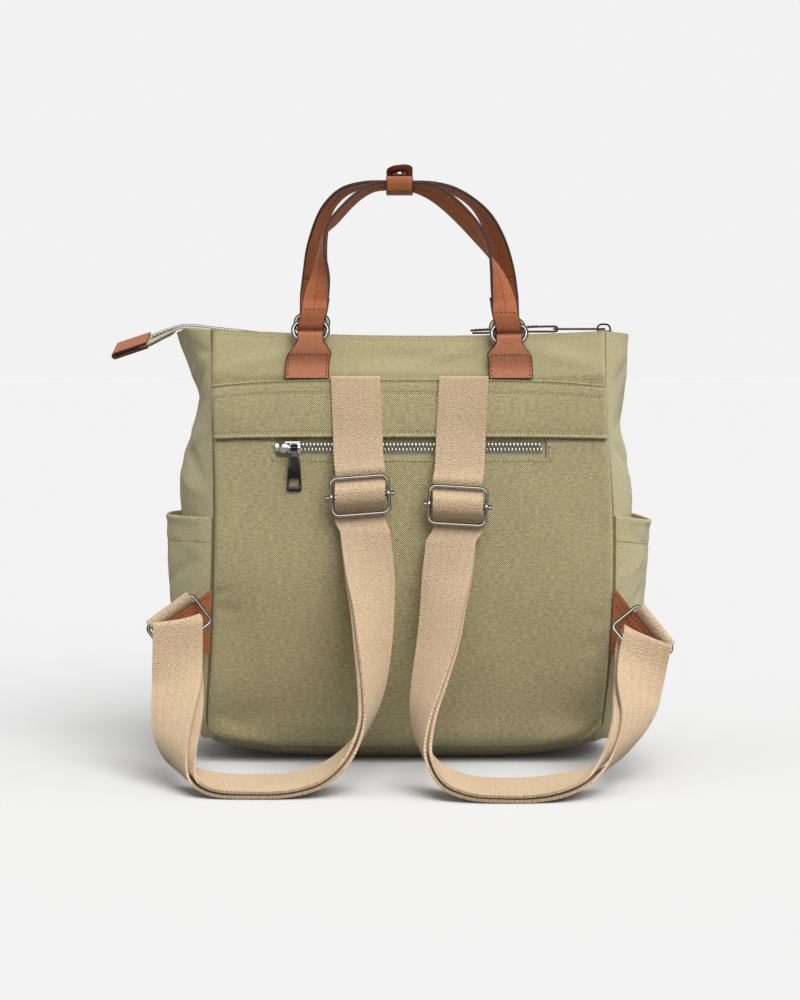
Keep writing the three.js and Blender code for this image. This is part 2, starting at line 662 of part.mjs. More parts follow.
const HANDLE_FRONT = [
  { x: -78, y: 47.8, z: 367, turn: 2, dip: 0 },
  { x: -75.8, y: 42.6, z: 384, turn: 16, dip: 0 },
  { x: -73, y: 33, z: 409, turn: 46, dip: 4 },
  { x: -65.4, y: 24, z: 433.4, turn: 70, dip: 11 },
  { x: -52.4, y: 17.4, z: 447.2, turn: 81, dip: 12 },
  { x: -36, y: 12.8, z: 453, turn: 87, dip: 6 },
  { x: -20, y: 11.5, z: 454.4, turn: 90, dip: 2 },
  { x: -6.5, y: 11.3, z: 454.2, turn: 90, dip: 0 },
  { x: 8, y: 11.5, z: 454.2, turn: 90, dip: 2 },
  { x: 22, y: 11.7, z: 452.8, turn: 91, dip: 5 },
  { x: 37, y: 14, z: 448.5, turn: 94, dip: 8 },
  { x: 52.6, y: 19, z: 439, turn: 99, dip: 11 },
  { x: 64.4, y: 26, z: 425.6, turn: 113, dip: 16 },
  { x: 72.4, y: 33, z: 409, turn: 130, dip: 8 },
  { x: 78, y: 41.4, z: 386, turn: 154, dip: 0 },
  { x: 81, y: 47.6, z: 363, turn: 176, dip: 0 },
];

function handle(rows, left, right, sign, laps) {
  const swing = (turn, dip) => vec(
    -sign * Math.cos(turn) * Math.cos(dip), -Math.sin(turn) * Math.cos(dip), Math.sin(dip));
  const main = route(rows, 28, HANDLE_WIDTH / 2, swing);
  const ply = HANDLE_LEATHER + 0.5;
  const lap = (order) => order.map((i) => (
    { ...main[i], at: main[i].at.clone().addScaledVector(inside(main, i, 1), ply) }));
  const off = RING_WIRE / 2 + 0.4 + HANDLE_LEATHER / 2;
  const foot = (ring, end, across) => {
    const plane = ringY(ring);
    const lean = end.at.x - ring.x;
    const hub = vec(ring.x + clamp(lean, -0.4, 0.4), plane, ring.z + 0.2 + HANDLE_LEATHER / 2 + off);
    const reach = ring.z + LOOP_REACH + RING_WIRE / 2 + 0.4;
    const spots = [
      vec(ring.x + lean * 0.8, plane - sign * off, reach),
      ...arc(hub, vec(0, -sign, 0), vec(0, 0, -1), off, 0, 180, 8),
      vec(ring.x + lean * 0.8, plane + sign * off, reach),
    ];
    return spots.map((at) => ({ at, across, half: HANDLE_WIDTH / 2 }));
  };
  const end = main.length - 1;
  const stations = [
    ...lap(range(laps)).reverse(),
    ...foot(left, main[0], vec(-sign, 0, 0)),
    ...main,
    ...foot(right, main[end], vec(sign, 0, 0)).reverse(),
    ...lap(range(laps).map((i) => end - i)),
  ];
  return ribbon(stations, HANDLE_LEATHER);
}
piece("handle_back", handle(HANDLE_BACK, HANDLE_RINGS[0], HANDLE_RINGS[1], -1, 1), leather);
piece("handle_front", handle(HANDLE_FRONT, HANDLE_RINGS[2], HANDLE_RINGS[3], 1, 2), leather);

// Leather wrap holding both handles together, its flap closed by a snap
const WRAP = { x: -6.5, near: -23.6, far: 23.6, low: 444.4, high: 457.2 };
function wrap() {
  const rows = [
    { y: -2, z: WRAP.high, half: 10.5, tilt: 0 },
    { y: -16, z: WRAP.high - 0.4, half: 10.5, tilt: 0 },
    { y: WRAP.near + 1.2, z: WRAP.high - 1.6, half: 10.5, tilt: 0 },
    { y: WRAP.near, z: 453.5, half: 10.5, tilt: 0 },
    { y: WRAP.near, z: 449.5, half: 10.5, tilt: 0 },
    { y: WRAP.near + 1.2, z: WRAP.low + 0.8, half: 10.5, tilt: 0 },
    { y: WRAP.near + 4, z: WRAP.low, half: 10.5, tilt: 0 },
    { y: 0, z: WRAP.low, half: 10.5, tilt: 0 },
    { y: 10, z: WRAP.low + 3, half: 10.5, tilt: 0 },
    { y: WRAP.far - 4, z: WRAP.low + 5, half: 10.5, tilt: 0 },
    { y: WRAP.far - 1, z: WRAP.low + 6, half: 10.5, tilt: 0 },
    { y: WRAP.far, z: 454.6, half: 10.5, tilt: 0 },
    { y: WRAP.far, z: 457, half: 10.5, tilt: 1 },
    { y: WRAP.far - 1.4, z: 459.6, half: 10.5, tilt: 2 },
    { y: WRAP.far - 5, z: 461.3, half: 10.5, tilt: 3 },
    { y: 10, z: 462.3, half: 10.5, tilt: 4 },
    { y: 0, z: 462.9, half: 10.5, tilt: 5 },
    { y: -8, z: 463.6, half: 10.4, tilt: 6 },
    { y: -13, z: 464.4, half: 9.2, tilt: 6 },
    { y: -16.4, z: 465.2, half: 6.6, tilt: 6 },
    { y: -18, z: 465.7, half: 3.4, tilt: 6 },
  ];
  const across = (tilt) => vec(Math.cos(degToRad(tilt)), 0, Math.sin(degToRad(tilt)));
  const stations = rows.map((row) => (
    { at: vec(WRAP.x, row.y, row.z), across: across(row.tilt), half: row.half }));
  return ribbon(stations, LEATHER);
}
piece("handle_wrap", wrap(), leather);
const snapFloor = WRAP.high + LEATHER / 2 + GAP;
piece("wrap_snap", rod(vec(WRAP.x, -8, snapFloor + 0.4), vec(WRAP.x, -8, 461.6), 4.6, 16), nickel);

// Shoulder straps: from the band's top seam, through the adjuster, down to the floor, up to the side ring
// and back inside as a second layer to the adjuster's bar. Turn swings the width from across to along;
// gap and slip place the second layer behind and beside the first.
const ADJUSTER = { long: 43.6, short: 28.6, corner: 5, out: 11.5 };
const STRAPS = [
  {
    name: "left", side: -1, top: -40.4, adjuster: { x: -36.6, z: 209.3, roll: 4.5 },
    outer: [
      { x: -32.8, y: -83.5, z: 182, turn: 2, dip: 0, gap: 2.6, slip: 0 },
      { x: -29.6, y: -92, z: 158, turn: 12, dip: 0, gap: 2.8, slip: 0 },
      { x: -26.2, y: -105, z: 128, turn: 36, dip: 0, gap: 3.2, slip: 0 },
      { x: -24.8, y: -121, z: 98, turn: 51, dip: 0, gap: 3.6, slip: 0 },
      { x: -25, y: -137, z: 71, turn: 66, dip: 0, gap: 3.8, slip: 0 },
      { x: -28.6, y: -151, z: 49, turn: 79, dip: 2, gap: 4, slip: 0 },
      { x: -41, y: -164, z: 27, turn: 87, dip: 5, gap: 4.2, slip: 0 },
      { x: -60, y: -172, z: 12, turn: 90, dip: 8, gap: 4, slip: 0 },
      { x: -84, y: -176, z: 5.4, turn: 90, dip: 8, gap: 3.6, slip: 0 },
      { x: -112, y: -176.5, z: 4.4, turn: 90, dip: 8, gap: 3.4, slip: 0 },
      { x: -142, y: -174.5, z: 5.4, turn: 95, dip: 7, gap: 4, slip: 0 },
      { x: -164.4, y: -167, z: 13.6, turn: 114, dip: 5, gap: 4.8, slip: 2 },
      { x: -173.4, y: -152, z: 31.5, turn: 133, dip: 2, gap: 5, slip: 5 },
      { x: -175, y: -125, z: 52, turn: 152, dip: -1, gap: 5, slip: 6 },
      { x: -174.6, y: -102, z: 69, turn: 170, dip: -2, gap: 5.6, slip: 5 },
      { x: -175, y: -91.5, z: 87, turn: 186, dip: -3, gap: 8, slip: 2 },
      { x: -175, y: -86.2, z: 111, turn: 191, dip: -3, gap: 7.4, slip: 0 },
    ],
    ring: { x: -176.5, z: 109.4, roll: 35.3, lean: 26, yaw: 14 },
    tuck: { x: -169.6, z: 104.5, half: 12.6, turn: 196, dip: -26 },
  },
  {
    name: "right", side: 1, top: 43.2, adjuster: { x: 37.8, z: 201.7, roll: 3.5 },
    outer: [
      { x: 32.6, y: -84, z: 174, turn: 2, dip: 0, gap: 2.6, slip: 0 },
      { x: 29.6, y: -93, z: 152, turn: 14, dip: 0, gap: 2.8, slip: 0 },
      { x: 26, y: -104, z: 132, turn: 33, dip: 0, gap: 3.2, slip: 0 },
      { x: 21.3, y: -119, z: 104, turn: 43, dip: 0, gap: 3.6, slip: 0 },
      { x: 14.2, y: -137, z: 77, turn: 56, dip: 0, gap: 3.8, slip: 0 },
      { x: 8.6, y: -153, z: 54, turn: 69, dip: 2, gap: 4, slip: 0 },
      { x: 9.4, y: -168, z: 31, turn: 82, dip: 5, gap: 4.2, slip: 0 },
      { x: 22, y: -182, z: 13.4, turn: 88, dip: 8, gap: 4, slip: 0 },
      { x: 42, y: -188, z: 6, turn: 90, dip: 8, gap: 3.6, slip: 0 },
      { x: 66, y: -190, z: 4.4, turn: 90, dip: 8, gap: 3.4, slip: 0 },
      { x: 92, y: -189, z: 4.6, turn: 90, dip: 8, gap: 3.8, slip: 0 },
      { x: 117, y: -184.5, z: 8.2, turn: 97, dip: 6, gap: 4.4, slip: 1 },
      { x: 141.5, y: -172, z: 16.6, turn: 110, dip: 3, gap: 4.8, slip: 4 },
      { x: 160.5, y: -150, z: 33, turn: 122, dip: 0, gap: 5, slip: 7 },
      { x: 171.5, y: -125, z: 50, turn: 138, dip: -6, gap: 5.2, slip: 9 },
      { x: 174.5, y: -102.5, z: 66.5, turn: 160, dip: -12, gap: 7.6, slip: 6 },
      { x: 178, y: -89, z: 82, turn: 180, dip: -17, gap: 8.2, slip: 2 },
      { x: 182.4, y: -83, z: 99, turn: 190, dip: -18, gap: 6.6, slip: 0 },
    ],
    ring: { x: 180.8, z: 99.7, roll: 50.4, lean: 24, yaw: 14 },
    tuck: { x: 170.6, z: 90.6, half: 13.6, turn: 192, dip: -46 },
  },
];
const RING = { long: 43, short: 27, corner: 4 };
const LOOP_LEAN = -66.6;
const LOOP_STEPS = 26;

function adjusterFrame(strap) {
  const { x, z, roll } = strap.adjuster;
  const angle = degToRad(-strap.side * roll);
  const first = vec(Math.cos(angle), 0, Math.sin(angle));
  const second = vec(-Math.sin(angle), 0, Math.cos(angle));
  const center = skinPoint("back", x, z, ADJUSTER.out);
  return { first, second, center };
}

function adjusterBar(strap) {
  const { first, second, center } = adjusterFrame(strap);
  const reach = ADJUSTER.long / 2;
  const spot = (a, b) => center.clone().addScaledVector(first, a).addScaledVector(second, b);
  const bore = (a) => rod(spot(a, -4), spot(a, 4), WIRE / 2 + 0.4, 8);
  const sleeve = (a) => cut(rod(spot(a, -2.3), spot(a, 2.3), 2.65, 8), bore(a));
  const stub = (a, b) => rod(spot(a, 0), spot(b, 0), WIRE / 2, 8);
  return join(
    stub(-reach + 2.2, reach - 2.2),
    sleeve(-reach),
    sleeve(reach),
    stub(-reach - 2.2, -reach - 4.2),
    stub(reach + 2.2, reach + 4.2),
  );
}

function strapStations(strap) {
  const { side } = strap;
  const swing = (turn, dip) => vec(
    side * Math.cos(turn) * Math.cos(dip), -Math.sin(turn) * Math.cos(dip), -Math.sin(dip));
  const half = WEBBING_WIDTH / 2;
  const { center, first } = adjusterFrame(strap);
  const level = vec(side, 0, 0);
  const tilted = first.clone().multiplyScalar(side);
  const out = ADJUSTER.out;
  const topX = strap.top;
  const z = strap.adjuster.z;
  const slide = (height) => lerp(strap.adjuster.x, topX, clamp((height - z) / (300 - z), 0, 1));
  const onSkin = (height, away, across) => ({
    at: skinPoint("back", slide(height), height, away), across, half,
  });
  const seam = skinPoint("back", topX, 297.8, 2.55);
  const top = [
    ...arc(seam, vec(0, 1, 0), vec(0, 0, 1), 1.2, 0, 180, 6).map((at) => ({ at, across: level, half })),
    onSkin(290, 3.8, level),
    onSkin(272, 3.8, level),
    onSkin(255, 3.9, level),
    onSkin(z + 27, out - 3.9, level),
  ];
  const across = (rows) => rows.map(([step, away]) => ({
    at: vec(0, -away, step).add(center), across: tilted, half,
  }));
  const over = across([
    [19, -3.5], [14.4, -3.5], [10.8, -2], [7.4, 2], [4.4, 5.2], [0, 6.1], [-4.4, 5.2], [-7.4, 2],
    [-10.8, -2], [-14.4, -3.5], [-19.5, -3.4],
  ]);
  const outer = route(strap.outer, LOOP_STEPS, half, swing);
  const apart = strap.outer.map((row, key) => ({ key, gap: row.gap, slip: row.slip }));
  const inner = outer.map((station, i) => {
    const key = (i / LOOP_STEPS) * (strap.outer.length - 1);
    const shift = inside(outer, i, -side).multiplyScalar(blend(apart, "key", "gap", key))
      .addScaledVector(station.across, blend(apart, "key", "slip", key));
    return { ...station, at: station.at.clone().add(shift) };
  });
  const last = outer[outer.length - 1];
  const crestIn = inner[inner.length - 1];
  const hub = last.at.clone().lerp(crestIn.at, 0.5);
  const away = last.at.clone().sub(hub);
  const up = heading(outer, outer.length - 1);
  const { tuck } = strap;
  const tucked = {
    at: vec(tuck.x, crestIn.at.y + 1.2, tuck.z),
    across: swing(degToRad(tuck.turn), degToRad(tuck.dip)),
    half: tuck.half,
  };
  const fold = arc(hub, away.clone().normalize(), up, away.length(), 30, 150, 4).map((at, k) => {
    const share = smoothstep(k, 0, 5);
    const spot = at.clone();
    spot.x = lerp(at.x, tuck.x, share * 0.7);
    const lean = last.across.clone().lerp(tucked.across, share).normalize();
    return { at: spot, across: lean, half: lerp(half, tuck.half, share) };
  });
  const back = inner.slice(0, inner.length - 2).reverse().map((station, k) => {
    const share = 1 - smoothstep(k, -1, 4);
    const at = station.at.clone();
    at.x = lerp(at.x, tuck.x, share);
    return { at, across: station.across, half: lerp(half, tuck.half, share) };
  });
  const hook = across([[-20, -5.9], [-14.8, -5.8], [-9, -5], [-4, -3.7]]);
  const bar = arc(center, vec(0, 1, 0), vec(0, 0, 1), 2.9, 0, 215, 8)
    .map((at) => ({ at, across: tilted, half }));
  return [...top, ...over, ...outer, ...fold, tucked, ...back, ...hook, ...bar];
}

// The ring's plane, with its tab and loop swung forward about the side seam
function ringPlane(strap) {
  const { side, ring } = strap;
  const roll = degToRad(ring.roll);
  const lean = degToRad(ring.lean);
  const yaw = -side * degToRad(ring.yaw);
  const upright = vec(0, 0, 1);
  const hinge = vec(side * (body(110, "half") + 0.5) + body(110, "sway"), LOOP_LEAN + 0.8, 0);
  const swing = (point) => point.sub(hinge).applyAxisAngle(upright, yaw).add(hinge);
  const first = vec(-side * Math.cos(roll), 0, Math.sin(roll)).applyAxisAngle(upright, yaw);
  const outward = vec(side * Math.sin(roll), 0, Math.cos(roll)).applyAxisAngle(upright, yaw);
  const deep = vec(0, 1, 0).applyAxisAngle(upright, yaw);
  const second = outward.clone().multiplyScalar(Math.cos(lean)).addScaledVector(deep, Math.sin(lean));
  const reach = vec(side * Math.sin(roll), 0, Math.cos(roll)).multiplyScalar(RING.short / 2);
  const bar = swing(vec(ring.x, LOOP_LEAN, ring.z).add(reach));
  const center = bar.clone().addScaledVector(second, -RING.short / 2);
  return { first, second, outward, deep, bar, center, hinge, yaw };
}

// Webbing loop from behind the leather tab round the ring's upper bar
function ringLoop(strap) {
  const { first, outward, deep, bar } = ringPlane(strap);
  const wind = arc(vec(0, 0, 0), vec(0, 1, 0), vec(1, 0, 0), 2.95, -6, 186, 9).map((p) => [p.x, p.y]);
  const front = [[-2.4, -2.1], [-4, 0], [-5.7, 2.5], [-8, 2.9], [-12, 2.95], [-17, 2.95]];
  const lines = [[-17, 5.4], [-12, 5.4], [-8, 5.5], [-4.6, 5.2], [-2, 3.9], ...wind, ...front];
  const stations = lines.map(([reach, back]) => ({
    at: bar.clone().addScaledVector(outward, reach).addScaledVector(deep, back),
    across: first,
    half: WEBBING_WIDTH / 2,
  }));
  return ribbon(stations, WEBBING);
}

// Leather triangle sewn into the side seam over the loop's ends
function sideTab(strap) {
  const { side, ring } = strap;
  const { hinge, yaw } = ringPlane(strap);
  const roll = degToRad(ring.roll);
  const first = vec(-side * Math.cos(roll), 0, Math.sin(roll));
  const outward = vec(side * Math.sin(roll), 0, Math.cos(roll));
  const seam = (z) => side * (body(z, "half") + 0.8) + body(z, "sway") - hinge.x;
  const edge = vec(ring.x, 0, ring.z).addScaledVector(outward, RING.short / 2 - 6.4);
  const crest = (x) => edge.z + ((hinge.x + x - edge.x) / first.x) * first.z;
  const corner = seam(crest(0));
  const tip = edge.clone().addScaledVector(first, -22);
  const outline = new THREE.Shape();
  outline.moveTo(corner, crest(corner));
  outline.lineTo(tip.x - hinge.x, tip.z);
  outline.lineTo(tip.x - hinge.x - side * 3, tip.z - 4);
  outline.lineTo(seam(86), 86);
  outline.closePath();
  const plate = new THREE.ExtrudeGeometry(outline, { depth: LEATHER, bevelEnabled: false });
  plate.rotateX(Math.PI / 2).translate(0, LOOP_LEAN + 1.55 - hinge.y, 0);
  return plate.rotateZ(yaw).translate(hinge.x, hinge.y, 0);
}

for (const strap of STRAPS) {
  const { name } = strap;
  const frame = adjusterFrame(strap);
  const plane = ringPlane(strap);
  piece(`strap_${name}`, ribbon(strapStations(strap), WEBBING), webbing);
  piece(`adjuster_frame_${name}`, wireFrame(frame, ADJUSTER, WIRE, 7), nickel);
  piece(`adjuster_bar_${name}`, adjusterBar(strap), nickel);
  piece(`strap_ring_${name}`, wireFrame(plane, RING, WIRE, 7), nickel);
  piece(`ring_loop_${name}`, ringLoop(strap), webbing);
  piece(`side_tab_${name}`, sideTab(strap), leather);
}

export default bag;
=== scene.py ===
import math
from collections import namedtuple
from functools import lru_cache

import bmesh
import bpy
from mathutils import Matrix, Vector, noise


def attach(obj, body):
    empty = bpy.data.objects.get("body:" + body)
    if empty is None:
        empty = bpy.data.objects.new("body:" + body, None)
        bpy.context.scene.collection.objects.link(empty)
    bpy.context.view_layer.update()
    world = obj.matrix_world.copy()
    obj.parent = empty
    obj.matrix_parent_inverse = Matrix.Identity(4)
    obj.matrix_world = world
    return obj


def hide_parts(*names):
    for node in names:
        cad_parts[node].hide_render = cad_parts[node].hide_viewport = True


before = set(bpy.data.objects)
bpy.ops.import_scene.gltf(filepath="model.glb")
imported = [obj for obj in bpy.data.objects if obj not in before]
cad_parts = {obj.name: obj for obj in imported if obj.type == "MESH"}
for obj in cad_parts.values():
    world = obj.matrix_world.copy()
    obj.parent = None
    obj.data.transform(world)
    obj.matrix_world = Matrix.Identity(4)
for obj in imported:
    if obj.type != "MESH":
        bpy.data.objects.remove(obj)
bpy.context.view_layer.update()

# Sizes of the bag in millimetres; every piece is brought to metres when it is finished
MM = 0.001
GAP = 0.3
CANVAS = 2.0
POCKET_CLOTH = 1.5
BAND_CLOTH = 1.6
FACING_CLOTH = 1.5
LEATHER = 1.6
LEATHER_REST = 0.4
PAINTED_EDGE = 0.8
HANDLE_LEATHER = 2.4
HANDLE_WIDTH = 20.4
WEBBING = 2.0
WEBBING_WIDTH = 38.0
WIRE = 2.9
RING_WIRE = 3.8
HANDLE_RING = {"long": 26.6, "short": 13.0, "corner": 6.2}
LOOP_REACH = 13.3
RING_OUT = 4.3
RING_SEAT = 317
SEAM_DEPTH = 4.2
BASE_LIFT = 13.5
BASE_FLAT = 0.5
TOP_HEIGHT = 331.5
BAND_TOP = 297.5
BAND_BOTTOM = 253.4
HEM = 19.3
ZIP_TAPE = 1.2
ZIP_LINE = 245.4
TOOTH_PITCH = 2.8
PULL_X = -87.4
SLIDER_X = 156.0
X_AXIS = Vector((1, 0, 0))
Y_AXIS = Vector((0, 1, 0))
Z_AXIS = Vector((0, 0, 1))


def table(columns, *rows):
    """Rows of values under named columns."""
    names = columns.split()
    return [dict(zip(names, row)) for row in rows]


SECTIONS = table(
    "z half sway back front left right belly",
    (0, 150.5, -2.5, -57, 57, 5, 5, 1),
    (30, 152.8, -2.4, -61.5, 61, 10, 10, 5),
    (80, 153.5, 1.2, -65, 64, 14, 15, 10),
    (140, 154, 4, -65.5, 64, 18, 18, 12),
    (200, 153.5, 4.4, -62, 60, 29.5, 26, 9),
    (255, 153, 2.2, -56, 54, 22, 20, 6),
    (285, 153, 0.8, -51.5, 49, 16, 21, 4),
    (310, 153, 0.6, -47, 45, 24, 23, 2),
    (340, 153, 0.6, -41, 40, 35, 25, 0),
)
POCKETS = table(
    "z left right",
    (0, 7, 7),
    (40, 20, 19),
    (90, 33, 32),
    (140, 35.5, 36),
    (195, 37.5, 39),
)
FOLDS = table(
    "wall across z wide tall push",
    ("back", -136, 112, 15, 22, -3.2),
    ("back", -146, 60, 16, 26, 2.2),
    ("back", 128, 38, 22, 15, -4),
    ("back", -122, 36, 26, 12, -3),
    ("back", 120, 150, 22, 50, 2),
    ("front", -120, 60, 30, 24, -3),
    ("front", 118, 90, 30, 40, -3),
    ("left", 0.3, 318, 0.14, 20, -6),
    ("left", 0.62, 262, 0.16, 16, -4),
    ("right", 0.35, 262, 0.16, 18, -3),
    ("pocketLeft", 0.3, 130, 0.1, 60, 2),
    ("pocketRight", 0.34, 150, 0.08, 45, -3),
)
# Finer creases: place, size, push out, and the turn of the crease in degrees
CREASES = table(
    "wall across z wide tall push turn",
    ("back", -143, 134, 9, 2.4, -1.5, 18),
    ("back", -141, 121, 13, 3, -1.3, -14),
    ("back", -137, 98, 12, 4, 0.9, -30),
    ("back", 143, 28, 14, 2.4, -3.4, 42),
    ("back", 126, 24, 20, 3, 1.6, 18),
    ("back", 139, 92, 12, 4, -1.2, 24),
    ("back", 141, 116, 9, 3, -0.9, -20),
    ("back", -128, 30, 20, 3, -1.4, -22),
    ("back", -60, 30, 46, 6, 0.8, -4),
    ("back", 40, 24, 50, 6, 0.7, 3),
    ("back", -118, 312, 26, 4, 1.2, 12),
    ("back", 0, 313, 40, 7, -1.3, -4),
    ("back", 122, 314, 24, 5, 1.4, -14),
    ("back", 30, 316, 22, 3.4, 1.2, 20),
    ("left", -38, 318, 16, 3.5, -3, 30),
    ("left", -20, 305, 22, 4, 1.6, -24),
    ("left", -36, 281, 18, 5, -2.2, -20),
    ("left", 26, 268, 22, 4, -2, 24),
    ("left", 30, 312, 18, 4, -2, -30),
    ("left", -30, 236, 24, 5, -3.4, 40),
    ("left", -36, 213, 22, 5, 2.6, 22),
    ("left", -24, 296, 28, 6, -3, -38),
    ("left", -34, 252, 20, 4, 2.4, -30),
    ("pocketLeft", -44, 168, 16, 3.5, 1.6, 28),
    ("pocketLeft", -40, 150, 20, 3.5, -2.2, -32),
    ("pocketLeft", -46, 128, 18, 3.5, 1.8, -38),
    ("pocketLeft", -34, 100, 24, 4, -1.8, 24),
    ("pocketLeft", 28, 140, 24, 4, -2, 30),
    ("pocketRight", -38, 172, 18, 3.5, -1.8, -26),
    ("pocketRight", -44, 150, 20, 3.5, 1.8, 30),
    ("pocketRight", -40, 126, 20, 4, -2, 36),
    ("pocketRight", 26, 150, 24, 4, -2, -30),
    ("right", -34, 262, 18, 4, -2, 24),
    ("right", 24, 282, 20, 4, -1.8, -24),
    ("right", -26, 222, 34, 5, 2.8, 74),
    ("right", -34, 236, 22, 5, -3.2, -40),
    ("right", -28, 300, 26, 6, -2.6, 38),
    ("front", -110, 40, 30, 4, -1.4, -14),
    ("front", 112, 60, 30, 4, -1.4, 20),
    ("front", 0, 180, 60, 20, 1.2, 8),
)


def smooth(value, low, high):
    t = min(max((value - low) / (high - low), 0), 1)
    return t * t * (3 - 2 * t)


def mix(a, b, t):
    return a + (b - a) * t


def blend(rows, along, name, value):
    """A column's value at a place along the rows, smooth through every row."""
    last = len(rows) - 1
    end = next((i for i, row in enumerate(rows) if row[along] >= value), last)
    end = min(max(end, 1), last)
    a, b = rows[end - 1], rows[end]
    before, after = rows[max(end - 2, 0)], rows[min(end + 1, last)]
    span = b[along] - a[along]
    slope_a = (b[name] - before[name]) / (b[along] - before[along]) * span
    slope_b = (after[name] - a[name]) / (after[along] - a[along]) * span
    t = min(max((value - a[along]) / span, 0), 1)
    rise = b[name] - a[name]
    return (a[name] + slope_a * t + (3 * rise - 2 * slope_a - slope_b) * t * t
            + (slope_a + slope_b - 2 * rise) * t ** 3)


@lru_cache(maxsize=None)
def body(z, name):
    """A column of the body's sections at a height."""
    return blend(SECTIONS, "z", name, z)


def folds(wall, across, z):
    """How far broad folds push a wall out."""
    push = 0
    for fold in FOLDS:
        if fold["wall"] == wall:
            a = (across - fold["across"]) / fold["wide"]
            b = (z - fold["z"]) / fold["tall"]
            push += fold["push"] * math.exp(-a * a - b * b)
    return push


def creases(wall, across, z):
    """How far fine creases push a wall out."""
    push = 0
    for crease in CREASES:
        if crease["wall"] == wall:
            turn = math.radians(crease["turn"])
            dx, dz = across - crease["across"], z - crease["z"]
            a = (dx * math.cos(turn) + dz * math.sin(turn)) / crease["wide"]
            b = (dz * math.cos(turn) - dx * math.sin(turn)) / crease["tall"]
            push += crease["push"] * math.exp(-a * a - b * b)
    return push


def lift(radius):
    """Height of the base, flat in the middle and rising to its rim."""
    return BASE_LIFT * (max(radius - BASE_FLAT, 0) / (1 - BASE_FLAT)) ** 2


def edge_low(share):
    """Height of a wall's lower edge, higher towards its corners."""
    return lift((1 + abs(share) ** 6) ** (1 / 6))


def top_edge(share):
    """Height of the walls' upper edge, higher towards its corners."""
    return TOP_HEIGHT + 4.5 * share * share - 0.8 * share


def bow(share):
    """Rise and fall from seam to seam."""
    return math.sin(math.pi * share)


def rolled(near, radius, depth):
    """How far a cloth edge has turned in, near being the distance from the seam."""
    t = min(max(1 - near / radius, 0), 1)
    return depth * (1 - math.sqrt(1 - t * t))


def crowded(u):
    """Place across a cloth wall, from -1 to 1, with closer columns towards its two seams."""
    return mix(2 * u - 1, -math.cos(math.pi * u), 0.75)


def swell(share):
    return max(bow(share), 0) ** 0.75


def side_name(side):
    return "left" if side < 0 else "right"


def face_sign(face):
    return -1 if face == "back" else 1


def skin(face, x, z):
    """Depth of the back or front panel's outer face."""
    share = min(max((x - body(z, "sway")) / body(z, "half"), -1), 1)
    out = body(z, "belly") * (1 - share * share) + folds(face, x, z)
    return body(z, face) + face_sign(face) * out


def skin_point(face, x, z, out):
    return Vector((x, skin(face, x, z) + face_sign(face) * out, z))


def gusset_point(side, share, z, bulge):
    """A place on a side wall, share running from the back seam to the front."""
    name = side_name(side)
    seam = side * body(z, "half") + body(z, "sway")
    near = skin("back", seam, z) + SEAM_DEPTH + GAP
    far = skin("front", seam, z) - SEAM_DEPTH - GAP
    y = mix(near, far, share)
    x = body(z, "half") - 1 + bulge * swell(share) + folds(name, share, z)
    x -= rolled(min(y - near, far - y), 4, 1.2)
    return Vector((side * x + body(z, "sway") * (1 - bow(share)), y, z))


# Lines of stations: place, direction across, half width
Station = namedtuple("Station", "at across half")


def arc(center, first, second, radius, start, stop, steps):
    """Places along an arc, angles in degrees from first to second."""
    angles = [math.radians(mix(start, stop, i / steps)) for i in range(steps + 1)]
    return [center + first * (radius * math.cos(a)) + second * (radius * math.sin(a)) for a in angles]


def glide(p0, p1, p2, p3, t):
    """A smooth way from p1 to p2, with p0 before and p3 after it."""
    d0, d1, d2 = (math.sqrt(max((b - a).length, 1e-5)) for a, b in ((p0, p1), (p1, p2), (p2, p3)))
    start = ((p1 - p0) / d0 - (p2 - p0) / (d0 + d1) + (p2 - p1) / d1) * d1
    stop = ((p2 - p1) / d1 - (p3 - p1) / (d1 + d2) + (p3 - p2) / d2) * d1
    rise = p2 - p1
    return p1 + start * t + (3 * rise - 2 * start - stop) * t * t + (start + stop - 2 * rise) * t ** 3


def fine(stations, step):
    """The same line in short steps, smooth through every station."""
    made = []
    last = len(stations) - 1
    for i in range(last):
        a, b = stations[i], stations[i + 1]
        before = stations[i - 1].at if i > 0 else 2 * a.at - b.at
        after = stations[i + 2].at if i + 2 <= last else 2 * b.at - a.at
        parts = max(1, math.ceil((b.at - a.at).length / step))
        for k in range(parts):
            t = k / parts
            across = a.across.lerp(b.across, t).normalized()
            made.append(Station(glide(before, a.at, b.at, after, t), across, mix(a.half, b.half, t)))
    made.append(stations[last])
    return made


def turned(side, turn, dip):
    """Direction across a strip that is turned about the vertical and dips at its outer edge."""
    level = math.cos(dip)
    return Vector((side * math.cos(turn) * level, -math.sin(turn) * level, -math.sin(dip)))


def heading(stations, i):
    """Direction along a line of stations."""
    a, b = stations[max(i - 1, 0)].at, stations[min(i + 1, len(stations) - 1)].at
    return (b - a).normalized()


def inside(stations, i, sign):
    """Direction square to a strip, on the side that sign says."""
    return heading(stations, i).cross(stations[i].across).normalized() * sign


def route(rows, steps, half, look):
    """Stations along a table of places; look gives the direction across."""
    spots = [Vector((row["x"], row["y"], row["z"])) for row in rows]
    keyed = [{"key": i, "turn": row["turn"], "dip": row.get("dip", 0)} for i, row in enumerate(rows)]
    line = []
    for i in range(steps + 1):
        key = i / steps * (len(rows) - 1)
        low = min(int(key), len(rows) - 2)
        before = spots[low - 1] if low > 0 else 2 * spots[0] - spots[1]
        after = spots[low + 2] if low + 2 < len(spots) else 2 * spots[-1] - spots[-2]
        at = glide(before, spots[low], spots[low + 1], after, key - low)
        turn = math.radians(blend(keyed, "key", "turn", key))
        dip = math.radians(blend(keyed, "key", "dip", key))
        line.append(Station(at, look(turn, dip), half))
    return line


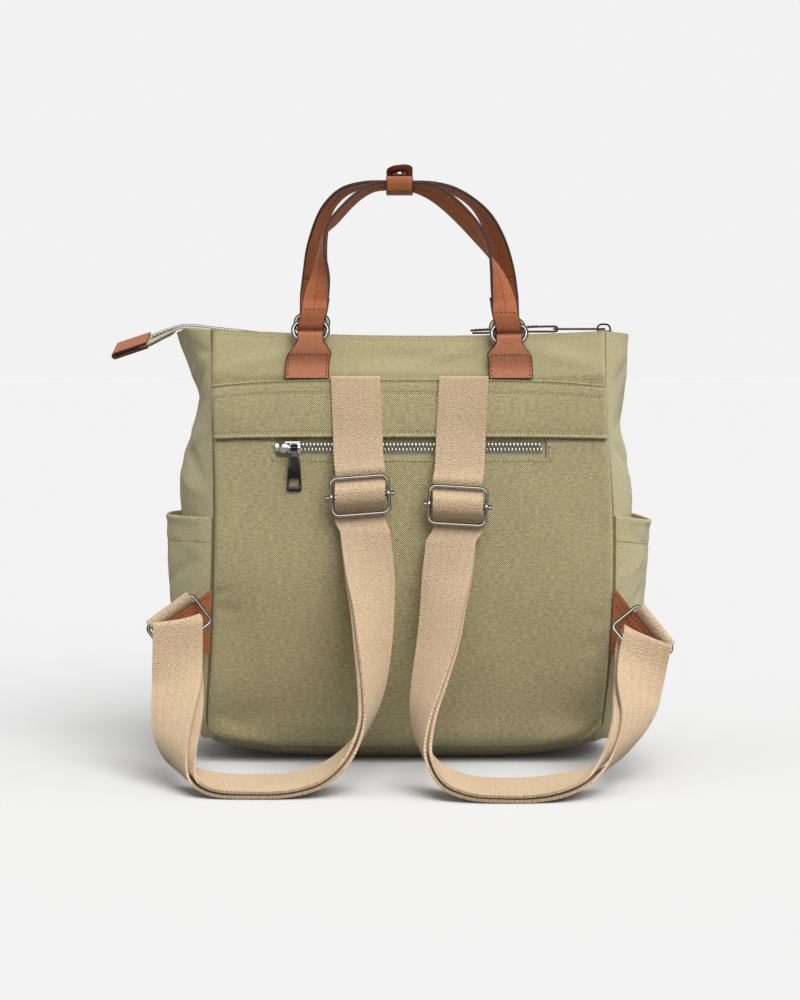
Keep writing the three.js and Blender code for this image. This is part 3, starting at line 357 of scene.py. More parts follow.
# Pitches of the woven threads in metres
CANVAS_PITCH = (0.00176, 0.00152)
TAPE_PITCH = (0.0012, 0.0011)
THREAD_PITCH = (0.0006, 0.0006)
RIB_PITCH = 0.0019


# Node groups shared by the finishes
def new_group(name, inputs, outputs):
    group = bpy.data.node_groups.new(name, "ShaderNodeTree")
    for label, kind, value in inputs:
        socket = group.interface.new_socket(label, in_out="INPUT", socket_type=kind)
        if value is not None:
            socket.default_value = value
    for label, kind in outputs:
        group.interface.new_socket(label, in_out="OUTPUT", socket_type=kind)
    return group, Wiring(group)


class Wiring:
    """Short calls that add and join nodes of one tree."""

    def __init__(self, tree):
        self.tree = tree

    def add(self, kind, **values):
        node = self.tree.nodes.new(kind)
        for name, value in values.items():
            setattr(node, name, value)
        return node

    def feed(self, socket, value):
        if isinstance(value, bpy.types.NodeSocket):
            self.tree.links.new(value, socket)
        else:
            socket.default_value = value

    def sum(self, operation, *values):
        node = self.add("ShaderNodeMath", operation=operation)
        for socket, value in zip(node.inputs, values):
            self.feed(socket, value)
        return node.outputs[0]

    def between(self, value, low, high):
        node = self.add("ShaderNodeMapRange")
        for name, given in (("Value", value), ("To Min", low), ("To Max", high)):
            self.feed(node.inputs[name], given)
        return node.outputs[0]

    def cloud(self, vector, scale, detail=2.0):
        node = self.add("ShaderNodeTexNoise")
        self.feed(node.inputs["Vector"], vector)
        self.feed(node.inputs["Scale"], scale)
        self.feed(node.inputs["Detail"], detail)
        return node.outputs["Fac"]

    def swing(self, value, amount):
        """A value about one half, moved to about zero and scaled."""
        return self.sum("MULTIPLY", self.sum("SUBTRACT", value, 0.5), amount)

    def wave(self, turns):
        return self.sum("COSINE", self.sum("MULTIPLY", turns, 2 * math.pi))

    def split(self, vector):
        node = self.add("ShaderNodeSeparateXYZ")
        self.feed(node.inputs[0], vector)
        return node.outputs

    def slubs(self, cut, across, along):
        """Thick and thin places of threads, as a noise stretched over the flat cut."""
        node = self.add("ShaderNodeMapping")
        self.feed(node.inputs["Vector"], cut)
        self.feed(node.inputs["Scale"], (across, along, 1.0))
        return self.cloud(node.outputs[0], 1.0, 3.0)

    def call(self, group, **values):
        node = self.add("ShaderNodeGroup", node_tree=group)
        for name, value in values.items():
            self.feed(node.inputs[name.replace("_", " ")], value)
        return node.outputs


def weave_group():
    """Over and under of a woven cloth, from its flat cut in metres and the two thread pitches in metres."""
    group, w = new_group(
        "woven threads",
        [("Cut", "NodeSocketVector", None), ("Pitch across", "NodeSocketFloat", 0.0023),
         ("Pitch along", "NodeSocketFloat", 0.0016)],
        [("Height", "NodeSocketFloat"), ("Slub", "NodeSocketFloat")])
    given = w.add("NodeGroupInput").outputs
    cut = w.split(given["Cut"])
    drift = w.swing(w.cloud(given["Cut"], 260.0), 0.12)
    waves = []
    for axis, pitch in ((0, "Pitch across"), (1, "Pitch along")):
        waves.append(w.wave(w.sum("ADD", w.sum("DIVIDE", cut[axis], given[pitch]), drift)))
    out = w.add("NodeGroupOutput").inputs
    w.feed(out["Height"], w.sum("MULTIPLY_ADD", w.sum("MULTIPLY", *waves), 0.5, 0.5))
    w.feed(out["Slub"], w.slubs(given["Cut"], 260.0, 700.0))
    return group


def rib_group():
    """Speckled cross ribs of heavy webbing, with a rope-like woven edge on both sides whose darker dashes are
    partly painted shade between the edge's loops.
    """
    group, w = new_group(
        "webbing ribs",
        [("Cut", "NodeSocketVector", None), ("Half width", "NodeSocketFloat", 0.019)],
        [("Height", "NodeSocketFloat"), ("Slub", "NodeSocketFloat")])
    given = w.add("NodeGroupInput").outputs
    across, along, _ = w.split(given["Cut"])
    away = w.sum("ABSOLUTE", across)
    drift = w.swing(w.cloud(given["Cut"], 420.0), 1.1)
    turns = lambda place, pitch, start: w.sum("ADD", w.sum("DIVIDE", place, pitch), start)
    ribs, threads = turns(along, RIB_PITCH, drift), turns(across, 0.0024, drift)
    twill = w.wave(turns(across, 0.0036, ribs))
    field = w.sum("MULTIPLY_ADD", w.sum("MULTIPLY", w.wave(ribs), w.wave(threads)), 0.2, 0.5)
    field = w.sum("MULTIPLY_ADD", twill, 0.22, field)
    # The woven edge: a rope-like dash pattern, darker on average than the ribs; the dashes are the real
    # loops, their darkness partly painted shade between them
    rope = w.wave(turns(along, 0.003, w.sum("DIVIDE", away, 0.0032)))
    roped_edge_and_shade = w.sum("MULTIPLY_ADD", rope, 0.22, 0.44)
    edge = w.add("ShaderNodeMapRange", interpolation_type="SMOOTHSTEP")
    w.feed(edge.inputs["Value"], away)
    w.feed(edge.inputs["From Min"], w.sum("SUBTRACT", given["Half width"], 0.0018))
    w.feed(edge.inputs["From Max"], w.sum("SUBTRACT", given["Half width"], 0.0010))
    share = w.sum("MULTIPLY", w.sum("SUBTRACT", roped_edge_and_shade, field), edge.outputs[0])
    out = w.add("NodeGroupOutput").inputs
    w.feed(out["Height"], w.sum("ADD", field, share))
    w.feed(out["Slub"], w.slubs(given["Cut"], 500.0, 700.0))
    return group


def dye_group():
    """Uneven dye: one colour made lighter and darker in broad soft patches and fine specks."""
    group, w = new_group(
        "uneven dye",
        [("Vector", "NodeSocketVector", None), ("Color", "NodeSocketColor", (0.5, 0.5, 0.5, 1)),
         ("Broad", "NodeSocketFloat", 0.1), ("Fine", "NodeSocketFloat", 0.1),
         ("Relief", "NodeSocketFloat", 0.5), ("Depth", "NodeSocketFloat", 0.0)],
        [("Color", "NodeSocketColor")])
    given = w.add("NodeGroupInput").outputs
    broad = w.swing(w.cloud(given["Vector"], 22.0, 3.0), given["Broad"])
    specks = w.swing(w.cloud(given["Vector"], 700.0), given["Fine"])
    relief = w.swing(given["Relief"], given["Depth"])
    tone = w.sum("ADD", w.sum("ADD", w.sum("ADD", broad, specks), relief), 1.0)
    scaled = w.add("ShaderNodeVectorMath", operation="SCALE")
    w.feed(scaled.inputs[0], given["Color"])
    w.feed(scaled.inputs["Scale"], w.sum("MAXIMUM", tone, 0.06))
    w.feed(w.add("NodeGroupOutput").inputs["Color"], scaled.outputs[0])
    return group


def grain_group():
    """Pores and soft wrinkles of leather."""
    group, w = new_group(
        "leather grain",
        [("Vector", "NodeSocketVector", None), ("Scale", "NodeSocketFloat", 1400.0)],
        [("Height", "NodeSocketFloat"), ("Gloss", "NodeSocketFloat")])
    given = w.add("NodeGroupInput").outputs
    pores = w.add("ShaderNodeTexVoronoi", feature="SMOOTH_F1")
    w.feed(pores.inputs["Vector"], given["Vector"])
    w.feed(pores.inputs["Scale"], given["Scale"])
    soft = w.cloud(given["Vector"], 420.0, 4.0)
    out = w.add("NodeGroupOutput").inputs
    w.feed(out["Height"], w.sum("MULTIPLY_ADD", pores.outputs["Distance"], 0.6, soft))
    w.feed(out["Gloss"], w.cloud(given["Vector"], 90.0, 3.0))
    return group


WEAVE = weave_group()
RIBS = rib_group()
DYE = dye_group()
GRAIN = grain_group()


def finish_start(name, **shader):
    material = bpy.data.materials.new(name)
    material.use_nodes = True
    w = Wiring(material.node_tree)
    skin_shader = material.node_tree.nodes["Principled BSDF"]
    for label, value in shader.items():
        skin_shader.inputs[label.replace("_", " ")].default_value = value
    place = w.add("ShaderNodeTexCoord").outputs
    return material, w, skin_shader.inputs, place


def raise_by(w, inputs, height, strength, distance):
    """Lets a height show as relief."""
    bump = w.add("ShaderNodeBump")
    w.feed(bump.inputs["Height"], height)
    bump.inputs["Strength"].default_value = strength
    bump.inputs["Distance"].default_value = distance
    w.feed(inputs["Normal"], bump.outputs[0])


def dye(w, inputs, place, **values):
    w.feed(inputs["Base Color"], w.call(DYE, Vector=place["Object"], **values)["Color"])


def woven_finish(name, color, pitch, depth, relief, broad=0.12, fuzz=0.3):
    material, w, inputs, place = finish_start(name, Roughness=0.9, Sheen_Weight=fuzz, Sheen_Roughness=0.45,
                                              Specular_IOR_Level=0.2)
    threads = w.call(WEAVE, Cut=place["UV"], Pitch_across=pitch[0], Pitch_along=pitch[1])
    mixed = w.sum("MULTIPLY_ADD", threads["Height"], 1.1, -0.345)
    mixed = w.sum("MULTIPLY_ADD", threads["Slub"], 0.6, mixed)
    dye(w, inputs, place, Color=color, Broad=broad, Fine=0.1, Relief=mixed, Depth=depth)
    raise_by(w, inputs, mixed, 0.8, relief)
    return material


def thread_finish(name, color):
    return woven_finish(name, color, THREAD_PITCH, 0.4, 0.0001)


def webbing_finish(name, color):
    material, w, inputs, place = finish_start(name, Roughness=0.85, Sheen_Weight=0.15, Sheen_Roughness=0.5,
                                              Specular_IOR_Level=0.2)
    ribs = w.call(RIBS, Cut=place["UV"], Half_width=WEBBING_WIDTH / 2 * MM)
    mixed = w.sum("MULTIPLY_ADD", ribs["Height"], 0.8, -0.55)
    mixed = w.sum("MULTIPLY_ADD", ribs["Slub"], 1.3, mixed)
    dye(w, inputs, place, Color=color, Broad=0.25, Fine=0.2, Relief=mixed, Depth=0.62)
    raise_by(w, inputs, mixed, 0.9, 0.0007)
    return material


def leather_finish(name, color, gloss, depth, relief):
    material, w, inputs, place = finish_start(name, Specular_IOR_Level=0.25)
    grain = w.call(GRAIN, Vector=place["Object"], Scale=560.0)
    dye(w, inputs, place, Color=color, Broad=0.1, Fine=0.18, Relief=grain["Height"], Depth=depth)
    w.feed(inputs["Roughness"], w.between(grain["Gloss"], *gloss))
    raise_by(w, inputs, grain["Height"], 0.6, relief)
    return material


def metal_finish(name, color, gloss):
    material, w, inputs, place = finish_start(name, Metallic=1.0)
    haze = w.cloud(place["Object"], 160.0, 4.0)
    dye(w, inputs, place, Color=color, Broad=0.1, Fine=0.05, Relief=haze, Depth=0.1)
    w.feed(inputs["Roughness"], w.between(haze, *gloss))
    raise_by(w, inputs, w.cloud(place["Object"], 1800.0), 0.15, 0.00004)
    return material


canvas = woven_finish("sage canvas", (0.50, 0.435, 0.232, 1), CANVAS_PITCH, 1.9, 0.0011, 0.2)
# Lighter copy of the canvas for the side walls and pockets: its lighter colour is painted light falling on
# the sides; its stronger sheen is the cloth's fuzz
side_canvas_painted_lighter = woven_finish("sage side canvas painted lighter", (0.555, 0.485, 0.262, 1), CANVAS_PITCH, 1.2, 0.0007, 0.1, 0.4)
# Lighter copy of the canvas for the strip above the band: painted light where the strip leans back towards
# the top light
strip_canvas_painted_lighter = woven_finish("sage canvas strip painted lighter", (0.52, 0.453, 0.255, 1), CANVAS_PITCH, 0.9, 0.0006, 0.06)
# Darker copy of the canvas for the side cloth in the seams: painted shade of the seam groove
painted_seam_shade_canvas = woven_finish("painted seam shade canvas", (0.2, 0.17, 0.085, 1), CANVAS_PITCH, 0.6, 0.0004)
tape_cloth = woven_finish("zip tape cloth", (0.5, 0.44, 0.29, 1), TAPE_PITCH, 0.8, 0.0004, 0.06)
webbing = webbing_finish("beige webbing", (0.575, 0.425, 0.275, 1))
leather = leather_finish("cognac leather", (0.31, 0.104, 0.044, 1), (0.42, 0.6), 0.55, 0.00025)
# Paler copy of the leather for the handle tabs: partly the tabs' own paler tone, partly painted sheen on
# their front-facing faces
tab_leather_painted_sheen = leather_finish("paler cognac leather with painted sheen", (0.4, 0.158, 0.083, 1), (0.42, 0.6), 0.5, 0.00025)
edge_paint = leather_finish("dark edge paint", (0.06, 0.032, 0.026, 1), (0.35, 0.55), 0.3, 0.0001)
nickel = metal_finish("polished nickel", (0.4, 0.39, 0.37, 1), (0.06, 0.14))
bright_nickel = metal_finish("bright nickel", (0.78, 0.77, 0.74, 1), (0.12, 0.22))
aged_nickel = metal_finish("aged nickel", (0.40, 0.36, 0.24, 1), (0.2, 0.34))
gunmetal = metal_finish("dark plated metal", (0.045, 0.042, 0.04, 1), (0.08, 0.2))
sage_thread = thread_finish("sage thread", (0.46, 0.40, 0.22, 1))
rust_thread = thread_finish("rust thread", (0.19, 0.04, 0.016, 1))
tan_thread = thread_finish("tan thread", (0.24, 0.062, 0.024, 1))
# Flat dark spots between stitches: painted shade in each needle hole
needle_hole_shade = thread_finish("painted needle hole shade", (0.2, 0.155, 0.08, 1))


# Making pieces
def piece(name, bm, finishes, slot, nodes=(), body_name="bag", wall=0.0, offset=-1.0, rim=0, round_by=0.0):
    """Writes a bmesh in millimetres as a piece in metres, riding on its body."""
    bmesh.ops.scale(bm, vec=(MM, MM, MM), verts=bm.verts)
    mesh = bpy.data.meshes.new(name)
    bm.to_mesh(mesh)
    bm.free()
    for material in finishes:
        mesh.materials.append(material)
    mesh.shade_smooth()
    obj = bpy.data.objects.new(name, mesh)
    bpy.context.collection.objects.link(obj)
    if wall:
        shell = obj.modifiers.new("cloth thickness", "SOLIDIFY")
        shell.thickness = wall * MM
        shell.offset = offset
        shell.material_offset_rim = rim
        shell.use_even_offset = True
    if round_by:
        edge = obj.modifiers.new("soft edge", "BEVEL")
        edge.width = round_by * MM
        edge.segments = 2
        edge.limit_method = "ANGLE"
        edge.angle_limit = math.radians(50)
        edge.harden_normals = True
    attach(obj, body_name)
    if nodes:
        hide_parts(*nodes)


def bent_grid(across, along, surface, cut, outward=None, paint=lambda u, v: 0):
    """A flat grid laid on surface(u, v), turned to face outward; its UV map is its flat cut in metres."""
    bm = bmesh.new()
    bmesh.ops.create_grid(bm, x_segments=across, y_segments=along, size=0.5)
    layer = bm.loops.layers.uv.new("cut")
    for face in bm.faces:
        middle = face.calc_center_median()
        face.material_index = paint(middle.x + 0.5, middle.y + 0.5)
        for loop in face.loops:
            u, v = cut(loop.vert.co.x + 0.5, loop.vert.co.y + 0.5)
            loop[layer].uv = (u * MM, v * MM)
    for vert in bm.verts:
        vert.co = surface(vert.co.x + 0.5, vert.co.y + 0.5)
    bm.normal_update()
    if outward is not None:
        facing = sum(face.normal.dot(outward) * face.calc_area() for face in bm.faces)
        if facing < 0:
            bmesh.ops.reverse_faces(bm, faces=bm.faces)
    return bm


def ribbon(stations, step, across, edge=0.0, loops=0.0):
    """A strip along stations; its cut starts at the middle. Edge is the width of painted edges, loops the
    size of a woven edge's small loops."""
    line = fine(stations, step)
    runs = [0.0]
    for a, b in zip(line, line[1:]):
        runs.append(runs[-1] + (b.at - a.at).length)
    last = len(line) - 1

    def place(u, half):
        column = u * across
        if not edge:
            return (2 * u - 1) * half
        if column < 1:
            return -half + column * edge
        if column > across - 1:
            return half - (across - column) * edge
        return mix(edge - half, half - edge, (column - 1) / (across - 2))

    def surface(u, v):
        i = round(v * last)
        outer = loops * math.sin(2 * math.pi * runs[i] / 3.4) if u in (0, 1) else 0
        return line[i].at + line[i].across * place(u, line[i].half + outer)

    def cut(u, v):
        i = round(v * last)
        return place(u, line[i].half), runs[i]

    def paint(u, v):
        return 1 if edge and int(u * across) in (0, across - 1) else 0

    return bent_grid(across, last, surface, cut, paint=paint)


def wire_loop(center, first, second, long, short, corner, wire, sides=12, turns=8):
    """A rounded frame of round wire lying in the plane of two directions."""
    out = first.cross(second).normalized()
    spots = []
    for a, b, start in ((1, 1, 0), (-1, 1, 90), (-1, -1, 180), (1, -1, 270)):
        hub = center + first * (a * (long / 2 - corner)) + second * (b * (short / 2 - corner))
        for i in range(turns + 1):
            angle = math.radians(start + i * 90 / turns)
            away = first * math.cos(angle) + second * math.sin(angle)
            spots.append((hub + away * corner, away))

    def surface(u, v):
        mid, away = spots[round(v * len(spots)) % len(spots)]
        angle = 2 * math.pi * u
        return mid + away * (wire / 2 * math.cos(angle)) + out * (wire / 2 * math.sin(angle))

    bm = bent_grid(sides, len(spots), surface, lambda u, v: (u, v))
    bmesh.ops.remove_doubles(bm, verts=bm.verts, dist=0.001)
    bmesh.ops.recalc_face_normals(bm, faces=bm.faces)
    return bm


def block(bm, low, high, turn=None):
    """Adds a box between two corners."""
    low, high = Vector(low), Vector(high)
    size = high - low
    place = Matrix.Translation((low + high) / 2) @ Matrix.Diagonal((*size, 1))
    return bmesh.ops.create_cube(bm, size=1, matrix=(turn @ place) if turn else place)["verts"]


def rod(bm, start, stop, radius, sides=16):
    """Adds a round bar between two places."""
    along = stop - start
    turn = along.to_track_quat("Z", "Y").to_matrix().to_4x4()
    place = Matrix.Translation((start + stop) / 2) @ turn
    bmesh.ops.create_cone(bm, cap_ends=True, segments=sides, radius1=radius, radius2=radius,
                          depth=along.length, matrix=place)


def chamfer(bm, width, segments=2, least=40):
    """Rounds every edge sharper than the least angle in degrees."""
    bm.normal_update()
    sharp = [e for e in bm.edges if len(e.link_faces) == 2 and e.calc_face_angle(0) > math.radians(least)]
    bmesh.ops.bevel(bm, geom=sharp, offset=width, affect="EDGES", segments=segments, profile=0.5, material=-1)


def stitch_row(line, pitch, length, width, high, hole):
    """A row of stitches along a line of (place, outward) pairs, with, where hole is given, a long dark spot
    of painted shade in each needle hole between them.
    """
    bm = bmesh.new()
    runs = [0.0]
    for a, b in zip(line, line[1:]):
        runs.append(runs[-1] + (b[0] - a[0]).length)
    count = max(1, int(runs[-1] / pitch))
    step = runs[-1] / count
    i = 0
    for k in range(count):
        run = (k + 0.5) * step
        while i < len(runs) - 2 and runs[i + 1] < run:
            i += 1
        share = (run - runs[i]) / max(runs[i + 1] - runs[i], 1e-6)
        at = line[i][0].lerp(line[i + 1][0], share)
        up = line[i][1].lerp(line[i + 1][1], share).normalized()
        along = (line[i + 1][0] - line[i][0]).normalized()
        side = up.cross(along).normalized()
        turn = Matrix((along, side, along.cross(side))).transposed().to_4x4()
        shapes = [(at, (length, width, high))]
        # The hole spot is a flat dark mark of painted shade where the needle went through
        if hole:
            shapes.append((at - along * step / 2, (hole, width, 0.3)))
        for finish, (spot, size) in enumerate(shapes):
            halves = Matrix.Diagonal((*(Vector(size) / 2), 1))
            place = Matrix.Translation(spot) @ turn @ halves
            made = bmesh.ops.create_uvsphere(bm, u_segments=6, v_segments=4, radius=1, matrix=place)
            for face in {face for vert in made["verts"] for face in vert.link_faces}:
                face.material_index = finish
    mesh = bpy.data.meshes.new("stitch row")
    bm.to_mesh(mesh)
    bm.free()
    return mesh


def stitching(name, rows, thread, slot, **sizes):
    bm = bmesh.new()
    for line in rows:
        row = stitch_row(line, **sizes)
        bm.from_mesh(row)
        bpy.data.meshes.remove(row)
    piece(name, bm, [thread, needle_hole_shade], slot)


def leather_strip(name, stations, step, across, node, round_by, finish=leather):
    """A strip of leather along stations, with painted edges."""
    bm = ribbon(stations, step, across, PAINTED_EDGE)
    piece(name, bm, [finish, edge_paint], "leather", [node], wall=LEATHER, offset=0, rim=1, round_by=round_by)


# hole is the length of the painted shade spot in each needle hole; 0 leaves it out
CANVAS_STITCH = {"thread": sage_thread, "slot": "canvas",
                 "pitch": 3.3, "length": 2.5, "width": 0.95, "high": 0.9, "hole": 1.1}
EDGE_STITCH = {**CANVAS_STITCH, "length": 2.6, "width": 0.7, "high": 0.6, "hole": 0}
LEATHER_STITCH = {"thread": rust_thread, "slot": "leather",
                  "pitch": 3.0, "length": 2.0, "width": 1.2, "high": 0.9, "hole": 0}
HANDLE_STITCH = {**LEATHER_STITCH, "thread": tan_thread}


# Body cloth
def seam_roll(x, z):
    """Panels turn in towards the side seams and pucker a little along them."""
    near = body(z, "half") - abs(x - body(z, "sway"))
    pucker = 0.7 * math.exp(-max(near, 0) / 9) * noise.noise(Vector((0.0, z / 9, 4.0 if x < 0 else 9.0)))
    return rolled(near, 5, 4.2) - pucker


def band_low(share):
    return BAND_BOTTOM - 1.5 * share ** 4


def band_high(share):
    return BAND_TOP - 5 * share ** 4


def panel_surface(face):
    sign = face_sign(face)

    def surface(u, v):
        share = crowded(u)
        low = edge_low(share)
        z = mix(low, top_edge(share), v)
        x = share * (body(z, "half") - rolled(z - low, 11, 5)) + body(z, "sway")
        y = skin(face, x, z)
        ripple = 0.55 * noise.noise(Vector((x / 48, z / 60, 2.0 + sign)))
        ripple += 0.28 * noise.noise(Vector((x / 17, z / 15, 7.0 + sign)))
        # The cloth lies calm about the zip
        calm = smooth(z, 236, 225) + smooth(z, 252, 262) if face == "back" and abs(x) < 118 else 1
        out = (ripple + creases(face, x, z)) * calm - seam_roll(x, z)
        out -= rolled(z - low, 7, 2) + 0.5 * math.exp(-((top_edge(share) - z - 3.2) / 1.1) ** 2)
        if face == "back":
            # The band's two edges press into the panel
            out -= 1.8 * math.exp(-((z - band_low(share) + 0.6) / 1.8) ** 2)
            out -= 1.4 * math.exp(-((z - band_high(share) - 0.8) / 1.8) ** 2)
        return Vector((x, y + sign * out, z))

    return surface


def wall_cut(half):
    """Flat cut of a wall of the body, half its width to each side of its middle."""
    return lambda u, v: (crowded(u) * half, mix(10, 333, v))


def paint_light_above_band(u, v):
    """Paints the strip of the back panel above the band with the lighter canvas, painted light where the
    strip leans back towards the top light.
    """
    return 1 if v > 0.895 else 0


PANEL_HALF = 153
GUSSET_HALF = 67
SIDE_COLUMNS = 48
WINDOW = {"left": -102.0, "right": 107.0, "low": 237.5, "high": 252.0}


def back_panel():
    # The strip above the band gets the lighter canvas, painted light
    bm = bent_grid(96, 104, panel_surface("back"), wall_cut(PANEL_HALF), -Y_AXIS, paint_light_above_band)
    for axis, name in ((0, "left"), (0, "right"), (2, "low"), (2, "high")):
        place = Vector((0, 0, 0))
        place[axis] = WINDOW[name]
        normal = Vector((0, 0, 0))
        normal[axis] = 1
        everything = bm.verts[:] + bm.edges[:] + bm.faces[:]
        bmesh.ops.bisect_plane(bm, geom=everything, dist=0.001, plane_co=place, plane_no=normal)

    def in_window(face):
        p = face.calc_center_median()
        return (WINDOW["left"] < p.x < WINDOW["right"]) and (WINDOW["low"] < p.z < WINDOW["high"])

    bmesh.ops.delete(bm, geom=[face for face in bm.faces if in_window(face)], context="FACES")
    piece("back_cloth", bm, [canvas, strip_canvas_painted_lighter], "canvas", ["back_panel"], wall=CANVAS, round_by=0.7)


def front_panel():
    bm = bent_grid(80, 84, panel_surface("front"), wall_cut(PANEL_HALF), Y_AXIS)
    piece("front_cloth", bm, [canvas], "canvas", ["front_panel"], wall=CANVAS, round_by=0.7)


def paint_seam_shade(columns):
    """Paints the outermost columns of a side cloth with the darker seam canvas, painted shade where they lie
    in the seam.
    """
    return lambda u, v: 1 if abs(u - 0.5) > 0.5 - columns / SIDE_COLUMNS else 0


def gusset(side):
    name = side_name(side)

    def surface(u, v):
        deep = crowded(u)
        u = 0.5 + deep / 2
        top = top_edge(side) - 2 * bow(u)
        if side < 0:
            # The cloth stands up on both sides of the zip's tail
            for peak in (0.23, 0.77):
                top += 2.6 * math.exp(-((u - peak) / 0.1) ** 2)
        low = edge_low(deep)
        z = mix(low, top, v)
        point = gusset_point(side, u, z, body(z, name))
        ripple = 1.8 * noise.noise(Vector((u * 2.6, z / 42, 11.0 + side)))
        ripple += 0.9 * noise.noise(Vector((u * 7, z / 16, 3.0 + side)))
        ripple = (ripple + creases(name, point.y, z)) * max(bow(u), 0) ** 0.5
        point.x += side * (ripple - rolled(z - low, 13, 7) * (1 - bow(u)) ** 2)
        return point

    # The two outermost columns get the painted seam shade
    bm = bent_grid(SIDE_COLUMNS, 110, surface, wall_cut(GUSSET_HALF), X_AXIS * side, paint_seam_shade(2))
    piece(f"{name}_gusset_cloth", bm, [side_canvas_painted_lighter, painted_seam_shade_canvas], "canvas", [f"gusset_{name}"],
          wall=CANVAS, round_by=0.7)


def pocket_surface(side):
    name = side_name(side)
    fold = "pocketLeft" if side < 0 else "pocketRight"

    def surface(u, v):
        deep = crowded(u)
        u = 0.5 + deep / 2
        rim = 191 if side < 0 else 192 - 6 * bow(u)
        low = edge_low(deep) + 1
        z = mix(low, rim, v)
        point = gusset_point(side, u, z, blend(POCKETS, "z", name, z))
        out = CANVAS + GAP + folds(fold, u, z) - folds(name, u, z)
        # The hem is thicker, with a groove along its stitches and a roll at the rim
        near_rim = smooth(z, rim - 20.5, rim - 18)
        hem = 0.5 * near_rim - 0.5 * math.exp(-((z - rim + HEM) / 1.4) ** 2)
        hem += 1.3 * math.exp(-((z - rim + 2.2) / 2) ** 2) - 0.5 * math.exp(-((z - rim) / 0.9) ** 2)
        out += hem * min(1, max(bow(u), 0) * 6)
        ripple = 1.3 * noise.noise(Vector((u * 3.2, z / 46, 21.0 + side)))
        ripple += 0.7 * noise.noise(Vector((u * 8, z / 14, 31.0 + side))) + creases(fold, point.y, z)
        ripple *= max(bow(u), 0) ** 0.5
        point.x += side * (out + ripple - rolled(z - low, 13, 8) * (1 - bow(u)) ** 2)
        return point

    return surface


def pocket(side):
    name = side_name(side)
    surface = pocket_surface(side)
    cut = lambda u, v: (crowded(u) * 75, v * 180)
    # The outermost column gets the painted seam shade
    bm = bent_grid(SIDE_COLUMNS, 70, surface, cut, X_AXIS * side, paint_seam_shade(1))
    piece(f"{name}_pocket_cloth", bm, [side_canvas_painted_lighter, painted_seam_shade_canvas], "canvas", [f"side_pocket_{name}"],
          wall=POCKET_CLOTH, round_by=0.55)
    height = HEM / 176
    hem = []
    for i in range(60):
        u = 0.03 + 0.94 * i / 59
        at = surface(u, 1 - height)
        ahead, above = surface(u + 0.01, 1 - height) - at, surface(u, 1.01 - height) - at
        out = ahead.cross(above).normalized()
        out *= 1 if out.x * side > 0 else -1
        hem.append((at + out * 0.15, out))
    stitching(f"{name}_pocket_hem", [hem], **CANVAS_STITCH)


def base():
    def surface(u, v):
        share, deep = 2 * u - 1, 2 * v - 1
        z = lift((abs(share) ** 6 + abs(deep) ** 6) ** (1 / 6))
        inset = CANVAS + GAP + 0.6
        half = body(z, "half") - 1 + body(z, "left") * bow(v) - inset
        near, far = body(z, "back") + inset, body(z, "front") - inset
        return Vector((share * half + body(z, "sway") * (1 - bow(v)), mix(near, far, v), z))

    bm = bent_grid(72, 40, surface, lambda u, v: (u * 305, v * 115), -Z_AXIS)
    piece("base_cloth", bm, [canvas], "canvas", ["base_panel"], wall=CANVAS, round_by=0.6)


BAND_OUT = GAP + 0.1 + BAND_CLOTH
BAND_ROWS = (3.4 / 44, 33.6 / 44, 42 / 44)


def band_place(share, v, lifted=0.0):
    z = mix(band_low(share), band_high(share), v)
    x = share * (body(z, "half") - 0.4) + body(z, "sway")
    ripple = 0.3 * noise.noise(Vector((x / 30, z / 14, 15.0)))
    puff = 0.9 * bow(v) * (0.7 + 0.3 * noise.noise(Vector((x / 22, 0.0, 5.0))))
    for row in BAND_ROWS:
        puff -= 0.75 * math.exp(-((v - row) / 0.022) ** 2)
    edges = 0.8 * math.exp(-(v / 0.05) ** 2) + 0.8 * math.exp(-((1 - v) / 0.03) ** 2)
    out = BAND_OUT + ripple + puff + edges - seam_roll(x, z) + lifted
    return skin_point("back", x, z, out)


def yoke_band():
    surface = lambda u, v: band_place(crowded(u), v)
    cut = lambda u, v: (crowded(u) * 152, 252 + 45 * v)
    bm = bent_grid(110, 44, surface, cut, -Y_AXIS)
    piece("yoke_cloth", bm, [canvas], "canvas", ["yoke_band"], wall=BAND_CLOTH, round_by=0.6)
    rows = []
    for v in BAND_ROWS:
        places = [band_place(mix(-0.985, 0.985, i / 120), v, 0.25) for i in range(121)]
        rows.append([(at, Vector((0, -1, 0.12)).normalized()) for at in places])
    stitching("yoke_stitches", rows, **CANVAS_STITCH)


def panel_stitches():
    """Topstitching along the top edges of both panels and round the zip window."""
    for face in ("back", "front"):
        sign, surface = face_sign(face), panel_surface(face)
        line = []
        for i in range(121):
            at = surface(mix(0.01, 0.99, i / 120), 0.99)
            line.append((at + Vector((0, sign * 0.2, 0)), Vector((0, sign, 0.1)).normalized()))
        stitching(f"{face}_top_stitches", [line], **EDGE_STITCH)
    left, right = WINDOW["left"] - 2.6, WINDOW["right"] + 2.6
    low, high = WINDOW["low"] - 2.4, WINDOW["high"] + 1.2
    corners = [(left, high), (left, low), (right, low), (right, high)]
    out = Vector((0, -1, 0.1)).normalized()
    rows = []
    for (x0, z0), (x1, z1) in zip(corners, corners[1:]):
        count = 60 if abs(x1 - x0) > 50 else 6
        spots = [(mix(x0, x1, i / count), mix(z0, z1, i / count)) for i in range(count + 1)]
        rows.append([(skin_point("back", x, z, 0.25), out) for x, z in spots])
    heights = [mix(WINDOW["low"] - 1, WINDOW["high"] - 3, i / 4) for i in range(5)]
    for x in (left - 0.4, left + 0.7, right - 0.7, right + 0.4):
        rows.append([(skin_point("back", x, z, 0.35), out) for z in heights])
    stitching("window_stitches", rows, **CANVAS_STITCH)


